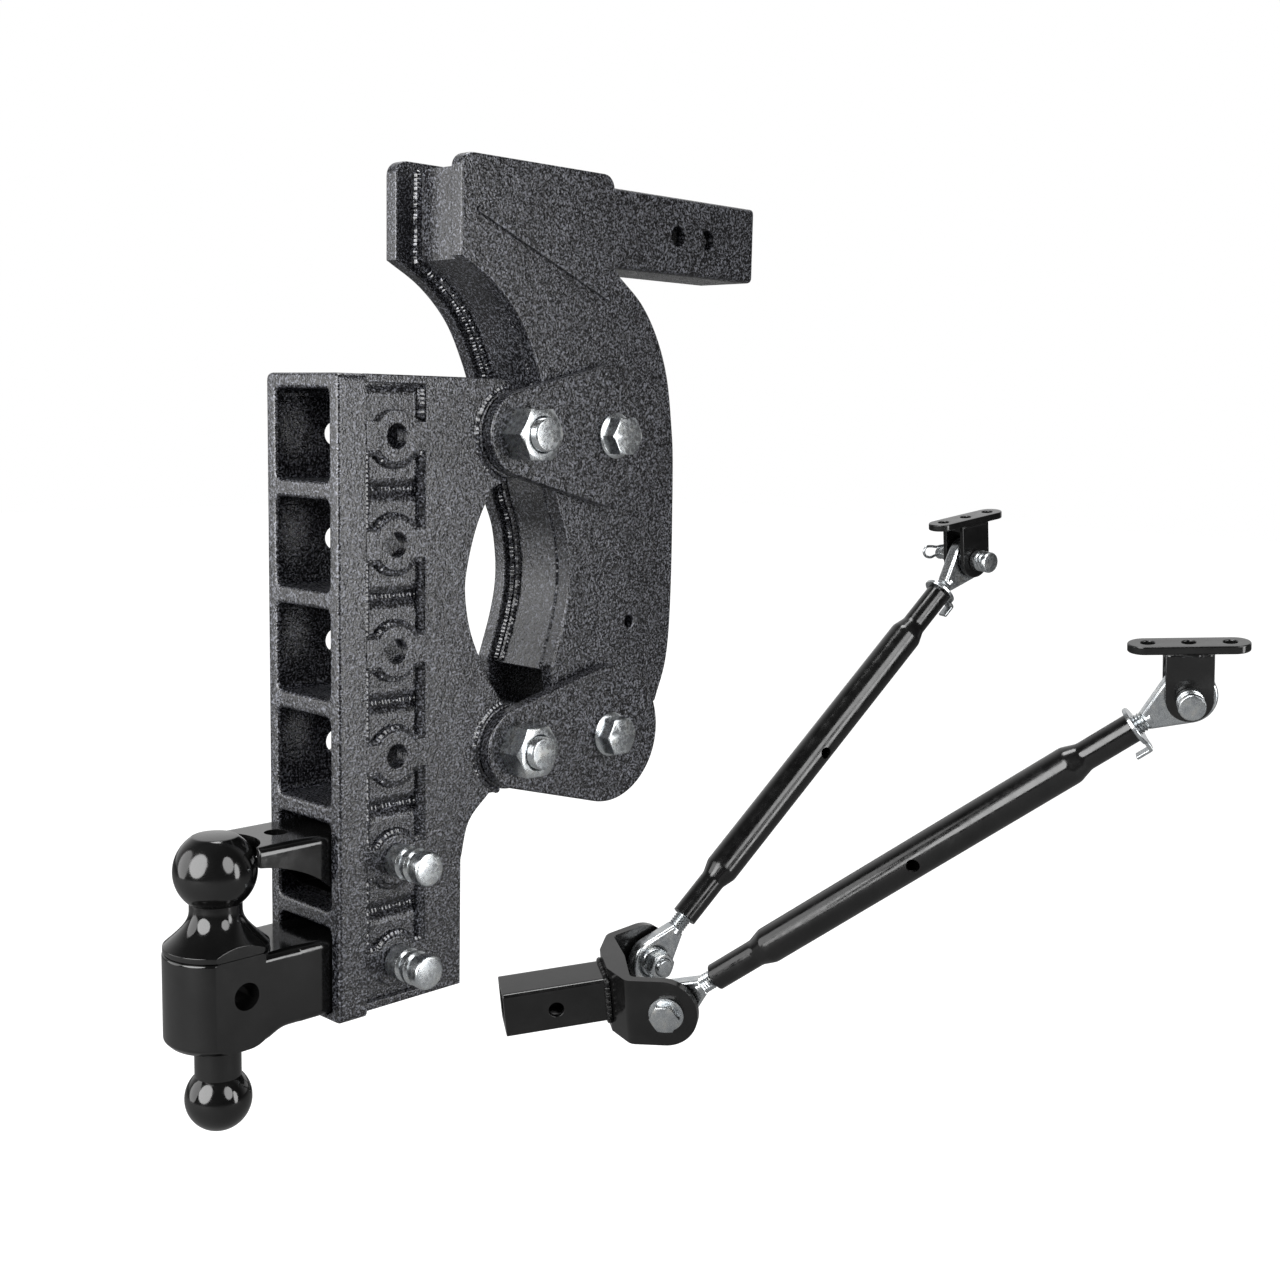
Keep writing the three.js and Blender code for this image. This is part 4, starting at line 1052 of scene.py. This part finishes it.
def add_yoke(place):
    start = KIT_SHANK + 0.3
    outer = EAR_INSIDE + YOKE_THICK

    def along(side, reach, out):
        turn = math.radians(SPLAY)
        return Vector((EYE_X + reach * math.cos(turn) - out * math.sin(turn),
                       side * (EYE_SIDE + reach * math.sin(turn) + out * math.cos(turn))))

    back = -50
    outline = [along(1, EAR_REACH, outer), along(1, back + 8, outer), along(1, back, outer - 8),
               Vector((start, 23.4)), Vector((start, -23.4)), along(-1, back, outer - 8),
               along(-1, back + 8, outer), along(-1, EAR_REACH, outer), along(-1, EAR_REACH, EAR_INSIDE),
               along(-1, back + 11, EAR_INSIDE), Vector((start + 24, 0)), along(1, back + 11, EAR_INSIDE),
               along(1, EAR_REACH, EAR_INSIDE)]
    outline = rounded(outline, [0, 14, 14, 4, 4, 14, 14, 0, 0, 9, 16, 9, 0], 6)
    bent = slab(outline, [], -YOKE_HALF, YOKE_HALF, 0.02, "XY", 1)
    tools = []
    over, half = EAR_REACH + 4, YOKE_HALF
    for side in (1, -1):
        trim = [Vector((-4, 40)), Vector((over, 40)), Vector((over, -40)), Vector((-4, -40))]
        trim += [Vector((-4, -half))] + arc(EAR_REACH - half, 0, half, -90, 90, 40) + [Vector((-4, half))]
        low, high = (0, 60) if side > 0 else (-60, 0)
        for tool in (slab(trim, [], low, high, 0.01), bore(YOKE_HOLE, low, high)):
            tools.append(moved(rotated(tool, side * SPLAY, "Z"), EYE_X, side * EYE_SIDE))
    put("kit_yoke_detail", carved(bent, cut=tools), place, "kit_paint", "kit_yoke", bevel=1.0)


def add_yoke_bolt(name):
    side = SIDES[name]
    place = yoke_place(name)
    face = EAR_INSIDE + YOKE_THICK + 0.3
    turn = 0 if side > 0 else 180
    radius = PIVOT_RADIUS
    thread = threaded(radius, -30, -10, 2, 0.7)
    shaft = turned([(0, -30), *thread, (radius, -9), (radius, face), (0, face)])
    washer = turned([(0, face), (19, face), (19, face + 1.6), (15, face + 2.6), (0, face + 2.6)])
    bolt = together(shaft, washer, hexagon(SMALL_HEX, face + 2.4, face + 14))
    nut = hexagon(SMALL_HEX, -11, -26, YOKE_HOLE)
    put(f"yoke_bolt_{name}_detail", rotated(bolt, turn, "Z"), place, "zinc_plate", f"yoke_bolt_{name}")
    put(f"yoke_nut_{name}_detail", rotated(nut, turn, "Z"), place, "zinc_plate", f"yoke_nut_{name}")


def eye_end():
    """A forged eye with its swivel ball, and the threaded rod behind it, along +X."""
    lean = math.degrees(math.acos(18 / 46))
    outline = arc(0, 0, 27, lean, 360 - lean, 48) + [Vector((46, -9)), Vector((46, 9))]
    forged = slab(outline, [circle(0, 0, 17.8, 56)], -8, 8, 3.4, "XZ", 5)
    hole, half = YOKE_HOLE, 9.5
    ball = [(p.x, p.y) for p in arc(0, 0, 18.3, -29, 29, 16)]
    swivel = turned([(hole, -half), (15.2, -half), *ball, (15.2, half), (hole, half), (hole, -half)])
    thread = turned([(0, 40), (9.2, 40), *threaded(10, 45, 92, 3.2, 1.5), (0, 92)], "X", 48)
    return together(forged, swivel, thread)


def barrel():
    """Tube swaged down at both ends, with a turning hole at its middle."""
    low, high, small, large = BARREL_LOW, BARREL_HIGH, 14.5, 19.5
    section = [(10.6, low), *[(p.x, p.y) for p in rounded(
        [(small, low), (small, low + 55), (large, low + 70), (large, high - 70), (small, high - 55),
         (small, high)], [0, 16, 16, 16, 16, 0], 6, closed=False)], (10.6, high)]
    hollow = [(10.6, high - 64), (15.5, high - 76), (15.5, low + 76), (10.6, low + 64)]
    solid = turned([*section, *hollow, section[0]], "X", 72)
    return carved(solid, cut=[bore(7, -30, 30, x=(low + high) / 2)])


def jam_collar():
    """Locking ring at the turnbuckle's upper end, with a bent tab to turn it by."""
    at = BARREL_HIGH + 0.3
    disc = turned([(10.5, at), (19.4, at), (20, at + 0.7), (20, at + 3.3), (19.4, at + 4), (10.5, at + 4),
                   (10.5, at)], "X", 64)
    tab = [Vector((at, -17)), Vector((at, -25.5)), Vector((at - 14, -25.5)), Vector((at - 14, -28.9)),
           Vector((at + 4, -28.9)), Vector((at + 4, -17))]
    return together(disc, slab(rounded(tab, [0, 1, 1, 1, 3.5, 0], 4), [], -6, 6, 0.8))


def frame_bracket():
    """A bolt-on plate with three holes over two ears, a roof between them and a weld each side."""
    plate = arc(40, 0, 16, -90, 90, 24) + arc(-40, 0, 16, 90, 270, 24)
    top = slab(plate, [circle(x, 0, 6.6, 40) for x in (-37.2, 0, 37.2)], 44, 52, 1.2, "XY")
    ear = [Vector((-22, 45))] + arc(0, 0, 22, 180, 360, 40) + [Vector((22, 45))]
    ears = [slab(ear, [circle(0, 0, 8.3, 40)], low, high, 1.0)
            for _, low, high in facing_sides(LUG_INSIDE, LUG_OUTSIDE)]
    roof = slab(rectangle(-22, -17, 22, 17, 0.5), [circle(0, 0, 6.6, 40)], 38, 44.6, 0.6, "XY")
    welds = [bead([(-21, side * 16.8, 43.2), (21, side * 16.8, 43.2)], 1.4) for side in (-1, 1)]
    return together(top, *ears, roof, *welds)


def add_arm(name):
    place = arm_place(name)
    eye = eye_end()
    put(f"lower_eye_{name}_detail", eye, place, "zinc_plate", f"lower_eye_{name}")
    put(f"upper_eye_{name}_detail", moved(rotated(eye, 180, "Y"), ARM_LENGTH), place, "zinc_plate",
        f"upper_eye_{name}")
    put(f"turnbuckle_{name}_detail", barrel(), place, "kit_paint", f"turnbuckle_{name}", bevel=0.4)
    put(f"jam_collar_{name}_detail", jam_collar(), place, "zinc_plate", f"jam_collar_{name}")
    top, clip_at = bracket_place(name), BRACKET_CLIP_AT
    put(f"frame_bracket_{name}_detail", frame_bracket(), top, "kit_paint", f"frame_bracket_{name}")
    pin = hitch_pin(-LUG_OUTSIDE - 0.5, 24, clip_at + 9, clip_at)
    put(f"bracket_pin_{name}_detail", pin, top, "zinc_plate", f"bracket_pin_{name}")
    put(f"bracket_pin_clip_{name}_detail", rotated(clip_wire(clip_at), CLIP_TURN[name], "Y"), top,
        "zinc_plate", f"bracket_pin_clip_{name}")


# ------------------------------------------------------------------ everything, in order

add_camera()
add_studio()
MATERIALS.update({maker.__name__: maker() for maker in (
    hammered_paint, weld_paint, gloss_paint, kit_paint, zinc_plate, bare_steel, rubber)})
add_shank()
add_head()
for link_level in LEVELS:
    add_links(link_level)
add_collar_and_stack()
add_column_plates()
add_balls()
add_ball_mount()
add_lock_insert()
add_pins()
KIT_PLACE = kit_place()
add_kit_shank(KIT_PLACE)
add_yoke(KIT_PLACE)
for side_name in SIDES:
    add_yoke_bolt(side_name)
    add_arm(side_name)
